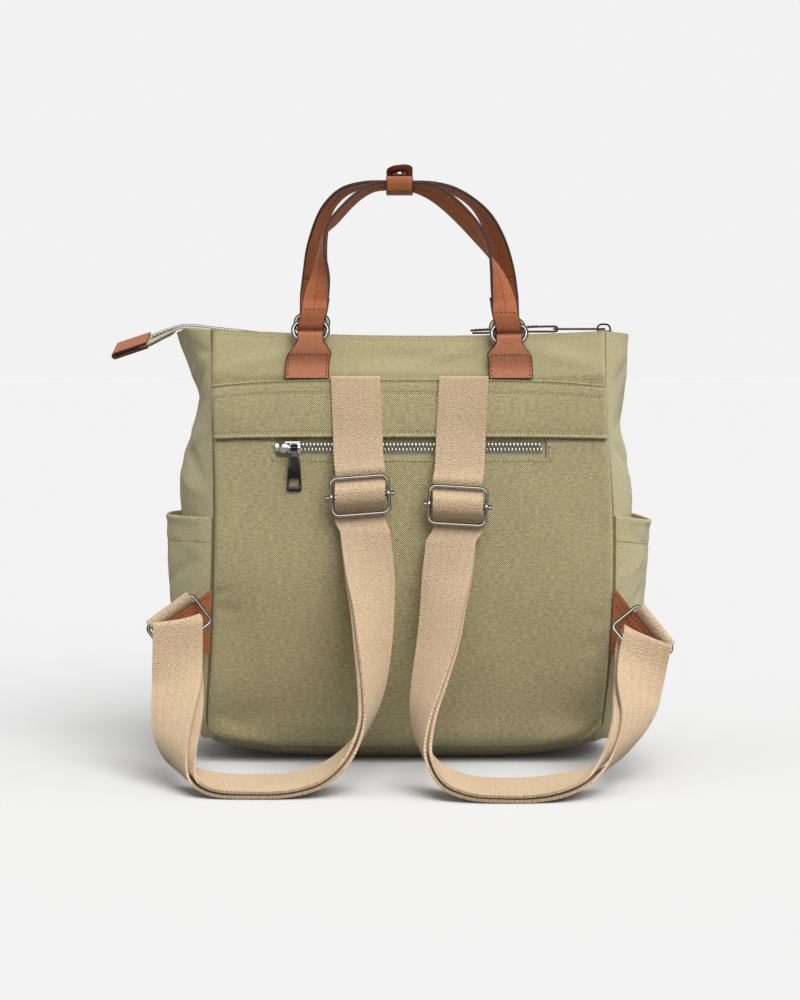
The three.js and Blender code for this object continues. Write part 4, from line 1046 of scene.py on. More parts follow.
# Top closure
TOP_ZIP = table(
    "x z y tilt",
    (-214, 325.9, -2, 17),
    (-205, 328.9, -1.5, 16),
    (-192, 334.4, -1, 10),
    (-178, 338, 0, 1),
    (-150, 335.5, 0, 0),
    (-100, 330.5, 0, 0),
    (0, 327.5, 0, 0),
    (100, 329.5, 0, 0),
    (150, 331.5, 0, 0),
    (168, 332, 0, 0),
)


def zip_height(x):
    return blend(TOP_ZIP, "x", "z", x)


def zip_station(x, out, half):
    tilt = math.radians(blend(TOP_ZIP, "x", "tilt", x))
    across = Vector((0, math.cos(tilt), math.sin(tilt)))
    slope = zip_height(x + 0.5) - zip_height(x - 0.5)
    along = Vector((1, 0, slope)).normalized()
    up = along.cross(across).normalized()
    at = Vector((x, blend(TOP_ZIP, "x", "y", x), zip_height(x))) + up * out
    return Station(at, across, half), along, up


def facing_cloth(face):
    sign = face_sign(face)

    def surface(u, v):
        share = 2 * u - 1
        height = top_edge(share)
        seam = body(height, face) - sign * (CANVAS + GAP + 0.2)
        y = mix(seam, sign * 10.5, v)
        depth = (y - body(height, "back")) / (body(height, "front") - body(height, "back"))
        side = -1 if share < 0 else 1
        end = gusset_point(side, depth, height, body(height, side_name(side))).x * side
        x = share * (end - CANVAS - 7)
        z = mix(height - 2, zip_height(x) - ZIP_TAPE / 2 - GAP - 0.4, smooth(v, 0, 1))
        z += 0.5 * noise.noise(Vector((x / 26, y / 14, 41.0)))
        return Vector((x, y, z))

    bm = bent_grid(90, 12, surface, lambda u, v: (u * 340, v * 30), Z_AXIS)
    piece(f"{face}_facing_cloth", bm, [canvas], "canvas", [f"top_facing_{face}"], wall=FACING_CLOTH,
          round_by=0.5)
    line = []
    for i in range(101):
        at = surface(mix(0.03, 0.97, i / 100), 0.86)
        line.append((at + Z_AXIS * 0.2, Z_AXIS))
    stitching(f"{face}_facing_stitches", [line], **CANVAS_STITCH)


def top_zip():
    stations = [zip_station(mix(-211.5, 167, i / 76), 0, 14)[0] for i in range(77)]
    bm = ribbon(stations, 5, 12)
    piece("top_tape", bm, [tape_cloth], "zip_tape", ["top_zip_tape"], wall=ZIP_TAPE, offset=0)
    bm = bmesh.new()
    count = int(353 / TOOTH_PITCH)
    for i in range(count):
        for k, side in ((0.0, -1), (0.5, 1)):
            x = -203 + (i + k) * TOOTH_PITCH
            station, along, up = zip_station(x, ZIP_TAPE / 2 + GAP + 1.3, 1)
            turn = Matrix((along, station.across, up)).transposed().to_4x4()
            place = Matrix.Translation(station.at + station.across * (side * 1.05)) @ turn
            block(bm, (-0.85, -1.75, -1.1), (0.85, 1.75, 1.1), place)
    chamfer(bm, 0.4, 1)
    piece("top_teeth", bm, [bright_nickel], "nickel", ["top_zip_teeth"])


TAB_END = {"droop": 18.5, "length": 29, "tilt": 16.5}


def zip_end_tab():
    tilt, droop = math.radians(TAB_END["tilt"]), math.radians(TAB_END["droop"])
    across = Vector((0, math.cos(tilt), math.sin(tilt)))
    along = Vector((-math.cos(droop), 0, -math.sin(droop)))
    up = along.cross(across).normalized()
    up *= -1 if up.z < 0 else 1
    root = Vector((-206, -1.6, 328.55))
    off = ZIP_TAPE / 2 + GAP + 0.2 + LEATHER / 2
    tip = root + along * (TAB_END["length"] - off)
    spots = [root + along * (i * 8) + up * off for i in range(4)]
    spots += arc(tip, up, along, off, 0, 180, 6)
    spots += [root + along * (24 - i * 8) - up * off for i in range(4)]
    stations = [Station(at, across, 15.5) for at in spots]
    leather_strip("zip_tail_leather", stations, 1.2, 8, "zip_end_tab", 0.4)
    tail = [zip_station(mix(-205.5, -187, i / 6), -1.7, 13)[0] for i in range(7)]
    bm = ribbon(tail, 4, 10)
    piece("zip_tail_cloth", bm, [canvas], "canvas", wall=FACING_CLOTH, offset=0, round_by=0.5)


SLIDER_FLOOR = zip_height(SLIDER_X) + ZIP_TAPE / 2 + GAP
SLIDER_TOP = SLIDER_FLOOR + 3.6
LINK = {"right": SLIDER_X + 0.5, "left": 116.0, "half": 4.2, "thick": 1.6}
LINK_MIDDLE = SLIDER_TOP + GAP + LINK["thick"] / 2


def top_slider():
    bm = bmesh.new()
    body_plate = block(bm, (SLIDER_X - 5, -5, SLIDER_FLOOR), (SLIDER_X + 7, 5, SLIDER_TOP))
    for vert in body_plate:
        if vert.co.x > SLIDER_X:
            vert.co.y *= 0.72
    chamfer(bm, 0.9, 2)
    piece("top_slider", bm, [nickel], "nickel", ["top_zip_slider"])
    hub = Vector((SLIDER_X + 0.5, 0, SLIDER_FLOOR + 4.8))
    bow_wire = wire_loop(hub, X_AXIS, Z_AXIS, 10.2, 7.4, 3.6, 1.5)
    piece("top_slider_loop", bow_wire, [gunmetal], "nickel")


def top_link():
    """A flat link with an eye at the slider and a slot for the leather pull."""
    bm = bmesh.new()
    bmesh.ops.create_grid(bm, x_segments=5, y_segments=3, size=0.5)
    left, right, half = LINK["left"], LINK["right"], LINK["half"]
    columns = [left, left + 2.2, left + 10, SLIDER_X - 5, SLIDER_X - 1.2, right + 1.2]
    reach = [half] * 5 + [half * 0.55]
    hole = []
    for face in bm.faces:
        p = face.calc_center_median()
        column, row = int((p.x + 0.5) * 5), int((p.y + 0.5) * 3)
        if row == 1 and column in (1, 3):
            hole.append(face)
    bmesh.ops.delete(bm, geom=hole, context="FACES")
    for vert in bm.verts:
        column, row = round((vert.co.x + 0.5) * 5), round((vert.co.y + 0.5) * 3)
        share = (-1, -0.62, 0.62, 1)[row]
        vert.co = Vector((columns[column], share * reach[column], LINK_MIDDLE))
    piece("top_link", bm, [gunmetal], "nickel", ["top_zip_link"], wall=LINK["thick"], offset=0, round_by=0.45)


def top_pull():
    start, stop = 50, 108
    bar = Vector((LINK["left"] + 1.5, 0, LINK_MIDDLE))
    off = LINK["thick"] / 2 + LEATHER_REST + LEATHER / 2
    rest = lambda x: mix(bar.z - 2.2, bar.z, smooth(x, start, stop))
    apart = lambda x: mix(1, off, (x - start) / (stop - start))
    ends = (start, 70, 92, stop)
    spots = [Station(Vector((x, 0, rest(x) + apart(x))), Y_AXIS, 5) for x in ends]
    spots += [Station(at, Y_AXIS, 2.5) for at in arc(bar, Z_AXIS, X_AXIS, off, 0, 180, 8)]
    spots += [Station(Vector((x + 1.5, 0, rest(x) - apart(x))), Y_AXIS, 5) for x in reversed(ends)]
    leather_strip("top_pull_leather", spots, 1.4, 6, "top_pull_tab", 0.4)
    rows = []
    for side in (-1, 1):
        places = [Vector((x, side * 3.6, rest(x) + apart(x) + LEATHER / 2 + 0.1)) for x in (53, 70, 92, 104)]
        rows.append([(at, Z_AXIS) for at in places])
    stitching("top_pull_stitches", rows, **LEATHER_STITCH)


# Back zip
def teeth_floor(x):
    return skin("back", x, ZIP_LINE) + CANVAS - 0.1


def back_zip():
    depth = CANVAS + GAP + 0.25 + ZIP_TAPE / 2
    stations = []
    for i in range(41):
        x = mix(WINDOW["left"] - 5, WINDOW["right"] + 5, i / 40)
        above, below = (skin_point("back", x, ZIP_LINE + step, 0) for step in (8, -8))
        stations.append(Station(skin_point("back", x, ZIP_LINE, -depth), (above - below).normalized(), 11))
    bm = ribbon(stations, 6, 10)
    piece("back_tape", bm, [tape_cloth], "zip_tape", ["back_zip_tape"], wall=ZIP_TAPE, offset=0)
    bm = bmesh.new()
    first = WINDOW["left"] + 1
    count = int((WINDOW["right"] - 1 - first) / TOOTH_PITCH)
    for i in range(count):
        for k, side in ((0.25, 1), (0.75, -1)):
            x = first + (i + k) * TOOTH_PITCH
            y, z = teeth_floor(x), ZIP_LINE + side * 1.7
            tooth = block(bm, (x - 0.98, y - 2.4, z - 1.75), (x + 0.98, y, z + 1.75))
            for vert in tooth:
                if (vert.co.z - ZIP_LINE) * side < 1:
                    vert.co.x = mix(x, vert.co.x, 0.55)
    chamfer(bm, 0.35, 1)
    piece("back_teeth", bm, [bright_nickel], "nickel", ["back_zip_teeth"])


SLIDER_BACK = teeth_floor(PULL_X) - 2.5 - GAP
SLIDER_PLATE = 1.6
PULL_AXIS = SLIDER_BACK - SLIDER_PLATE - 3.2


def back_slider():
    left, right, front = PULL_X - 10.9, PULL_X + 5, SLIDER_BACK
    bm = bmesh.new()
    plate = block(bm, (left, front - SLIDER_PLATE, ZIP_LINE - 5.2), (right, front, ZIP_LINE + 5.2))
    bmesh.ops.subdivide_edges(bm, edges=list({e for v in plate for e in v.link_edges}), cuts=2)
    for vert in bm.verts:
        share = (vert.co.x - left) / (right - left)
        vert.co.z = ZIP_LINE + (vert.co.z - ZIP_LINE) * mix(0.8, 1, smooth(share, 0.2, 0.9))
    for x in (PULL_X - 4.3, PULL_X + 4):
        block(bm, (x - 0.95, PULL_AXIS - 1.0, ZIP_LINE - 1.9), (x + 0.95, front - 1, ZIP_LINE + 1.9))
    rod(bm, Vector((PULL_X - 5, PULL_AXIS, ZIP_LINE)), Vector((PULL_X + 4.8, PULL_AXIS, ZIP_LINE)), 1.0, 14)
    block(bm, (PULL_X - 7.4, front - 3.2, ZIP_LINE + 2.9), (right - 0.3, front - 1.2, ZIP_LINE + 4.7))
    block(bm, (left - 4, front - 0.6, ZIP_LINE - 3.2), (left - 1, front + 1, ZIP_LINE + 3.2))
    chamfer(bm, 0.5, 2, 55)
    dome = Matrix.Translation((PULL_X - 7.3, front - 1.2, ZIP_LINE + 0.2))
    dome @= Matrix.Diagonal((4.6, 2.7, 4.9, 1))
    bmesh.ops.create_uvsphere(bm, u_segments=20, v_segments=12, radius=1, matrix=dome)
    piece("back_slider", bm, [bright_nickel], "nickel", ["back_zip_slider"])


def back_pull():
    """A dark tapering plate with a window, on a barrel that turns on the slider's bar."""
    bm = bmesh.new()
    heights = [-1.8, -7.5, -9.0, -16.0, -23.8, -30.2, -32.6, -33.6]
    widths = [2.6, 2.6, 4.4, 4.95, 5.3, 5.6, 5.7, 5.0]
    rows = len(heights) - 1
    bmesh.ops.create_grid(bm, x_segments=3, y_segments=rows, size=0.5)
    hole = []
    for face in bm.faces:
        p = face.calc_center_median()
        if int((p.x + 0.5) * 3) == 1 and int((p.y + 0.5) * rows) == 4:
            hole.append(face)
    bmesh.ops.delete(bm, geom=hole, context="FACES")
    for vert in bm.verts:
        column, row = round((vert.co.x + 0.5) * 3), round((vert.co.y + 0.5) * rows)
        share = (-1, -0.68, 0.68, 1)[column]
        vert.co = Vector((PULL_X + share * widths[row], PULL_AXIS, ZIP_LINE + heights[row]))
    bmesh.ops.recalc_face_normals(bm, faces=bm.faces)
    bmesh.ops.solidify(bm, geom=bm.faces[:], thickness=1.4)
    middle = sum(v.co.y for v in bm.verts) / len(bm.verts)
    bmesh.ops.translate(bm, vec=(0, PULL_AXIS - middle, 0), verts=bm.verts)
    profile = [bm.verts.new((PULL_X + x, PULL_AXIS, ZIP_LINE + r))
               for x, r in ((-2.6, 1.4), (2.6, 1.4), (2.6, 2.7), (-2.6, 2.7))]
    edges = [bm.edges.new((profile[i], profile[(i + 1) % 4])) for i in range(4)]
    bmesh.ops.spin(bm, geom=profile + edges, cent=(PULL_X, PULL_AXIS, ZIP_LINE), axis=(1, 0, 0),
                   angle=2 * math.pi, steps=24, use_merge=True)
    bmesh.ops.recalc_face_normals(bm, faces=bm.faces)
    chamfer(bm, 0.42, 2, 50)
    piece("back_pull", bm, [gunmetal], "gunmetal", ["back_zip_pull"], body_name="zip_pull")


# Carrying handles
HANDLE_RINGS = table(
    "name face x z lean",
    ("back_left", "back", -75.4, 335.3, -2.6),
    ("back_right", "back", 78.2, 333, 1.4),
    ("front_left", "front", -78.6, 343, 0),
    ("front_right", "front", 82, 339, 0),
)
HANDLE_BACK = table(
    "x y z turn dip",
    (-71.6, -49.4, 358, 6, 0),
    (-70, -46.8, 368, 24, 0),
    (-68.3, -43.4, 378, 44, 0),
    (-67.2, -38.6, 395, 73, 0),
    (-64.6, -33, 412, 86, 4),
    (-57.2, -27, 422.6, 98, 10),
    (-41, -18.4, 440.2, 97, 10),
    (-28, -13, 448.8, 92, 13),
    (-17, -11.6, 450.6, 90, 13),
    (-6.5, -11.4, 450.6, 90, 13),
    (5.3, -11.6, 449.4, 88, 17),
    (18.1, -13.6, 446, 77, 29),
    (31.2, -18.5, 436.8, 67, 27),
    (45.2, -25.5, 422.8, 63, 22),
    (54.8, -31.5, 410.4, 66, 13),
    (61, -36, 399.8, 79, 4),
    (68, -41, 384, 112, 0),
    (71.8, -45.2, 370.8, 137, 0),
    (74.4, -49, 358, 160, 0),
)
HANDLE_FRONT = table(
    "x y z turn dip",
    (-78, 47.8, 367, 2, 0),
    (-75.8, 42.6, 384, 16, 0),
    (-73, 33, 409, 46, 4),
    (-65.4, 24, 433.4, 70, 11),
    (-52.4, 17.4, 447.2, 81, 12),
    (-36, 12.8, 453, 87, 6),
    (-20, 11.5, 454.4, 90, 2),
    (-6.5, 11.3, 454.2, 90, 0),
    (8, 11.5, 454.2, 90, 2),
    (22, 11.7, 452.8, 91, 5),
    (37, 14, 448.5, 94, 8),
    (52.6, 19, 439, 99, 11),
    (64.4, 26, 425.6, 113, 16),
    (72.4, 33, 409, 130, 8),
    (78, 41.4, 386, 154, 0),
    (81, 47.6, 363, 176, 0),
)


def ring_y(ring):
    return skin(ring["face"], ring["x"], RING_SEAT) + face_sign(ring["face"]) * RING_OUT


def handle_tab(ring):
    sign = face_sign(ring["face"])
    off = RING_WIRE / 2 + LEATHER_REST + LEATHER / 2
    crest = ring["z"] - 0.2 - LEATHER / 2 - off
    plane, x = ring_y(ring), ring["x"]
    low = BAND_TOP + 0.8
    wide = lambda z: mix(17, HANDLE_WIDTH / 2, smooth(z, 315.5, crest - 2))
    middle = lambda z: x + ring["lean"] * (1 - smooth(z, 305, crest - 2))
    under = ring["z"] - LOOP_REACH - RING_WIRE / 2
    on_skin = lambda z, out: skin_point(ring["face"], middle(z), z, out)
    lower_ply = LEATHER_REST + LEATHER / 2
    upper_ply = LEATHER_REST + LEATHER * 1.5 + GAP
    spots = [
        *[on_skin(z, lower_ply) for z in (low, 308, 316)],
        Vector((x, plane - sign * off, under - 1)),
        *arc(Vector((x, plane, crest)), Y_AXIS * -sign, Z_AXIS, off, 0, 180, 8),
        Vector((x, plane + sign * off, under + 1.5)),
        Vector((x, plane + sign * (off - 0.3), under - 1.4)),
        on_skin(under - 7, 4.6),
        on_skin(min(under - 12, 308), upper_ply),
        on_skin(low, upper_ply),
    ]
    line = fine([Station(at, X_AXIS, 10) for at in spots], 1.2)
    line = [Station(s.at, s.across, wide(s.at.z)) for s in line]
    name = ring["name"]
    # The tab's leather is the paler copy, partly painted sheen
    leather_strip(f"tab_leather_painted_sheen_{name}", line, 5, 12, f"handle_tab_{name}", 0.45, tab_leather_painted_sheen)
    out = Vector((0, sign, 0.1)).normalized()
    ply = [s for s in line[len(line) // 2:] if low + 1 < s.at.z < 317.2]
    above = out * (LEATHER / 2 + 0.1)
    row = lambda share: [(s.at + s.across * (share * (s.half - 2.2)) + above, out) for s in ply]
    left, right = row(-1), row(1)
    rows = [left, [left[0], right[0]], right]
    stitching(f"tab_stitches_{name}", rows, **LEATHER_STITCH)


def handle_ring(ring):
    center = Vector((ring["x"], ring_y(ring), ring["z"]))
    bm = wire_loop(center, X_AXIS, Z_AXIS, **HANDLE_RING, wire=RING_WIRE, sides=14, turns=12)
    name = ring["name"]
    finish = nickel if ring["face"] == "back" else aged_nickel
    piece(f"ring_{name}", bm, [finish], "nickel", [f"handle_ring_{name}"])


def handle(name, rows, left, right, sign, laps):
    half = HANDLE_WIDTH / 2
    main = route(rows, 60, half, lambda turn, dip: turned(-sign, turn, -dip))
    ply = HANDLE_LEATHER + 0.5
    lap = lambda order: [main[i]._replace(at=main[i].at + inside(main, i, ply)) for i in order]
    off = RING_WIRE / 2 + LEATHER_REST + HANDLE_LEATHER / 2

    def foot(ring, end, across):
        plane, x = ring_y(ring), ring["x"]
        lean = end.at.x - x
        hub = Vector((x + min(max(lean, -0.4), 0.4), plane, ring["z"] + 0.2 + HANDLE_LEATHER / 2 + off))
        reach = ring["z"] + LOOP_REACH + RING_WIRE / 2 + LEATHER_REST
        spots = [Vector((x + lean * 0.8, plane - sign * off, reach)),
                 *arc(hub, Y_AXIS * -sign, -Z_AXIS, off, 0, 180, 8),
                 Vector((x + lean * 0.8, plane + sign * off, reach))]
        return [Station(at, across, half) for at in spots]

    first = foot(left, main[0], X_AXIS * -sign)
    last = foot(right, main[-1], X_AXIS * sign)[::-1]
    end = len(main) - 1
    stations = [*lap(range(laps - 1, -1, -1)), *first, *main, *last, *lap(range(end, end - laps, -1))]
    piece(f"{name}_leather", ribbon(stations, 1.6, 10, 0.9), [leather, edge_paint], "leather", [name],
          wall=HANDLE_LEATHER, offset=0, rim=1, round_by=0.6)
    shown = [first[-1], *main, last[0]]
    above = HANDLE_LEATHER / 2 + 0.1
    face = lambda i, side: (shown[i].at + inside(shown, i, side * above), inside(shown, i, side))
    rows = [[face(i, side) for i in range(len(shown))] for side in (1, -1)]
    stitching(f"{name}_stitches", rows, **HANDLE_STITCH)
    crosses = []
    for i in (0, len(shown) - 1):
        at, up = face(i, -1)
        side = shown[i].across * (half - 1.6)
        crosses.append([(at - side, up), (at + side, up)])
    stitching(f"{name}_bar_stitches", crosses, **LEATHER_STITCH)


WRAP = {"x": -6.5, "near": -23.6, "far": 23.6, "low": 444.4, "high": 457.2}


def handle_wrap():
    near, far, low, high = WRAP["near"], WRAP["far"], WRAP["low"], WRAP["high"]
    full = 10.5
    rows = [
        (-2, high, full, 0), (-16, high - 0.4, full, 0), (near + 1.2, high - 1.6, full, 0),
        (near, 453.5, full, 0), (near, 449.5, full, 0), (near + 1.2, low + 0.8, full, 0),
        (near + 4, low, full, 0), (0, low, full, 0), (10, low + 3, full, 0),
        (far - 4, low + 5, full, 0), (far - 1, low + 6, full, 0), (far, 454.6, full, 0),
        (far, 457, full, 1), (far - 1.4, 459.6, full, 2), (far - 5, 461.3, full, 3), (10, 462.3, full, 4),
        (0, 462.9, full, 5), (-8, 463.6, 10.4, 6), (-13, 464.4, 9.2, 6), (-16.4, 465.2, 6.6, 6),
        (-18, 465.7, 3.4, 6),
    ]
    tilted = lambda tilt: Vector((math.cos(math.radians(tilt)), 0, math.sin(math.radians(tilt))))
    stations = [Station(Vector((WRAP["x"], y, z)), tilted(tilt), half) for y, z, half, tilt in rows]
    leather_strip("wrap_leather", stations, 1.2, 10, "handle_wrap", 0.45)
    bm = bmesh.new()
    floor = high + LEATHER / 2 + GAP + LEATHER_REST
    rod(bm, Vector((WRAP["x"], -8, floor)), Vector((WRAP["x"], -8, 461.6)), 4.6, 28)
    chamfer(bm, 0.6, 3)
    piece("snap", bm, [nickel], "nickel", ["wrap_snap"])


# Shoulder straps
ADJUSTER = {"long": 43.6, "short": 28.6, "corner": 5}
ADJUSTER_OUT = 11.5
RING = {"long": 43, "short": 27, "corner": 4}
LOOP_LEAN = -66.6
LOOP_STEPS = 64
ROUTE = "x y z turn dip gap slip"
STRAPS = [
    {
        "name": "left", "side": -1, "top": -40.4, "adjuster": {"x": -36.6, "z": 209.3, "roll": 4.5},
        "outer": table(
            ROUTE,
            (-32.8, -83.5, 182, 2, 0, 2.6, 0),
            (-29.6, -92, 158, 12, 0, 2.8, 0),
            (-26.2, -105, 128, 36, 0, 3.2, 0),
            (-24.8, -121, 98, 51, 0, 3.6, 0),
            (-25, -137, 71, 66, 0, 3.8, 0),
            (-28.6, -151, 49, 79, 2, 4, 0),
            (-41, -164, 27, 87, 5, 4.2, 0),
            (-60, -172, 12, 90, 8, 4, 0),
            (-84, -176, 5.4, 90, 8, 3.6, 0),
            (-112, -176.5, 4.4, 90, 8, 3.4, 0),
            (-142, -174.5, 5.4, 95, 7, 4, 0),
            (-164.4, -167, 13.6, 114, 5, 4.8, 2),
            (-173.4, -152, 31.5, 133, 2, 5, 5),
            (-175, -125, 52, 152, -1, 5, 6),
            (-174.6, -102, 69, 170, -2, 5.6, 5),
            (-175, -91.5, 87, 186, -3, 8, 2),
            (-175, -86.2, 111, 191, -3, 7.4, 0),
        ),
        "ring": {"x": -176.5, "z": 109.4, "roll": 35.3, "lean": 26, "yaw": 14},
        "tuck": {"x": -169.6, "z": 104.5, "half": 12.6, "turn": 196, "dip": -26},
    },
    {
        "name": "right", "side": 1, "top": 43.2, "adjuster": {"x": 37.8, "z": 201.7, "roll": 3.5},
        "outer": table(
            ROUTE,
            (32.6, -84, 174, 2, 0, 2.6, 0),
            (29.6, -93, 152, 14, 0, 2.8, 0),
            (26, -104, 132, 33, 0, 3.2, 0),
            (21.3, -119, 104, 43, 0, 3.6, 0),
            (14.2, -137, 77, 56, 0, 3.8, 0),
            (8.6, -153, 54, 69, 2, 4, 0),
            (9.4, -168, 31, 82, 5, 4.2, 0),
            (22, -182, 13.4, 88, 8, 4, 0),
            (42, -188, 6, 90, 8, 3.6, 0),
            (66, -190, 4.4, 90, 8, 3.4, 0),
            (92, -189, 4.6, 90, 8, 3.8, 0),
            (117, -184.5, 8.2, 97, 6, 4.4, 1),
            (141.5, -172, 16.6, 110, 3, 4.8, 4),
            (160.5, -150, 33, 122, 0, 5, 7),
            (171.5, -125, 50, 138, -6, 5.2, 9),
            (174.5, -102.5, 66.5, 160, -12, 7.6, 6),
            (178, -89, 82, 180, -17, 8.2, 2),
            (182.4, -83, 99, 190, -18, 6.6, 0),
        ),
        "ring": {"x": 180.8, "z": 99.7, "roll": 50.4, "lean": 24, "yaw": 14},
        "tuck": {"x": 170.6, "z": 90.6, "half": 13.6, "turn": 192, "dip": -46},
    },
]


def adjuster_plane(strap):
    angle = math.radians(-strap["side"] * strap["adjuster"]["roll"])
    first = Vector((math.cos(angle), 0, math.sin(angle)))
    second = Vector((-math.sin(angle), 0, math.cos(angle)))
    return first, second, skin_point("back", strap["adjuster"]["x"], strap["adjuster"]["z"], ADJUSTER_OUT)


def strap_stations(strap):
    side, half = strap["side"], WEBBING_WIDTH / 2
    look = lambda turn, dip: turned(side, turn, dip)
    first, _, center = adjuster_plane(strap)
    level, tilted = X_AXIS * side, first * side
    out, z, top_x = ADJUSTER_OUT, strap["adjuster"]["z"], strap["top"]
    slide = lambda h: mix(strap["adjuster"]["x"], top_x, min(max((h - z) / (300 - z), 0), 1))
    on_skin = lambda h, away: Station(skin_point("back", slide(h), h, away), level, half)
    seam = skin_point("back", top_x, 297.8, 2.55)
    top = [Station(at, level, half) for at in arc(seam, Y_AXIS, Z_AXIS, 1.2, 0, 180, 6)]
    top += [on_skin(h, away) for h, away in ((290, 3.8), (272, 3.8), (255, 3.9), (z + 27, out - 3.9))]
    through = lambda rows: [Station(center + Vector((0, -away, step)), tilted, half) for step, away in rows]
    over = through([(19, -3.5), (14.4, -3.5), (10.8, -2), (7.4, 2), (4.4, 5.2), (0, 6.1), (-4.4, 5.2),
                    (-7.4, 2), (-10.8, -2), (-14.4, -3.5), (-19.5, -3.4)])
    outer = route(strap["outer"], LOOP_STEPS, half, look)
    apart = [{"key": i, "gap": row["gap"], "slip": row["slip"]} for i, row in enumerate(strap["outer"])]
    inner = []
    for i, station in enumerate(outer):
        key = i / LOOP_STEPS * (len(apart) - 1)
        shift = inside(outer, i, -side) * blend(apart, "key", "gap", key)
        shift += station.across * blend(apart, "key", "slip", key)
        inner.append(station._replace(at=station.at + shift))
    last, crest = outer[-1], inner[-1]
    hub = (last.at + crest.at) / 2
    away = last.at - hub
    tuck = strap["tuck"]
    tucked = Station(Vector((tuck["x"], crest.at.y + 1.2, tuck["z"])),
                     look(math.radians(tuck["turn"]), math.radians(tuck["dip"])), tuck["half"])
    fold = []
    for k, at in enumerate(arc(hub, away.normalized(), heading(outer, LOOP_STEPS), away.length, 30, 150, 4)):
        share = smooth(k, 0, 5)
        spot = Vector((mix(at.x, tuck["x"], share * 0.7), at.y, at.z))
        fold.append(Station(spot, last.across.lerp(tucked.across, share).normalized(),
                            mix(half, tuck["half"], share)))
    back = []
    skip = round(LOOP_STEPS / 13)
    for k, station in enumerate(reversed(inner[:-skip])):
        share = 1 - smooth(k * 26 / LOOP_STEPS, -1, 4)
        at = Vector((mix(station.at.x, tuck["x"], share), station.at.y, station.at.z))
        back.append(Station(at, station.across, mix(half, tuck["half"], share)))
    hook = through([(-20, -5.9), (-14.8, -5.8), (-9, -5), (-4, -3.7)])
    bar = [Station(at, tilted, half) for at in arc(center, Y_AXIS, Z_AXIS, 2.9, 0, 215, 8)]
    return [*top, *over, *outer, *fold, tucked, *back, *hook, *bar]


def ring_plane(strap):
    side, ring = strap["side"], strap["ring"]
    roll, lean = math.radians(ring["roll"]), math.radians(ring["lean"])
    yaw = -side * math.radians(ring["yaw"])
    turn = Matrix.Rotation(yaw, 3, "Z")
    hinge = Vector((side * (body(110, "half") + 0.5) + body(110, "sway"), LOOP_LEAN + 0.8, 0))
    first = turn @ Vector((-side * math.cos(roll), 0, math.sin(roll)))
    level = Vector((side * math.sin(roll), 0, math.cos(roll)))
    outward, deep = turn @ level, turn @ Y_AXIS
    second = outward * math.cos(lean) + deep * math.sin(lean)
    bar = turn @ (Vector((ring["x"], LOOP_LEAN, ring["z"])) + level * (RING["short"] / 2) - hinge) + hinge
    center = bar - second * (RING["short"] / 2)
    return {"first": first, "second": second, "outward": outward, "deep": deep, "bar": bar, "center": center,
            "hinge": hinge, "turn": turn}


def adjuster(strap):
    name = strap["name"]
    first, second, center = adjuster_plane(strap)
    bm = wire_loop(center, first, second, **ADJUSTER, wire=WIRE)
    piece(f"adjuster_{name}", bm, [nickel], "nickel", [f"adjuster_frame_{name}"])
    bm = bmesh.new()
    reach = ADJUSTER["long"] / 2
    spot = lambda a, b: center + first * a + second * b
    rod(bm, spot(-reach, 0), spot(reach, 0), WIRE / 2)
    for side in (-1, 1):
        rod(bm, spot(side * reach, -2.3), spot(side * reach, 2.3), 2.65, 18)
        rod(bm, spot(side * (reach + 1.5), 0), spot(side * (reach + 4.2), 0), 2.1)
    chamfer(bm, 0.5, 2)
    piece(f"adjuster_slide_{name}", bm, [nickel], "nickel", [f"adjuster_bar_{name}"])


def strap_ring(strap):
    plane = ring_plane(strap)
    name = strap["name"]
    bm = wire_loop(plane["center"], plane["first"], plane["second"], **RING, wire=WIRE)
    piece(f"side_ring_{name}", bm, [nickel], "nickel", [f"strap_ring_{name}"])
    wind = [(p.x, p.y) for p in arc(Vector((0, 0, 0)), Y_AXIS, X_AXIS, 2.95, -6, 186, 9)]
    lines = [(-17, 5.4), (-12, 5.4), (-8, 5.5), (-4.6, 5.2), (-2, 3.9), *wind, (-2.4, -2.1), (-4, 0),
             (-5.7, 2.5), (-8, 2.9), (-12, 2.95), (-17, 2.95)]
    stations = [Station(plane["bar"] + plane["outward"] * reach + plane["deep"] * back, plane["first"],
                        WEBBING_WIDTH / 2) for reach, back in lines]
    piece(f"ring_webbing_{name}", ribbon(stations, 1.2, 14), [webbing], "webbing", [f"ring_loop_{name}"],
          wall=WEBBING, offset=0, round_by=0.6)


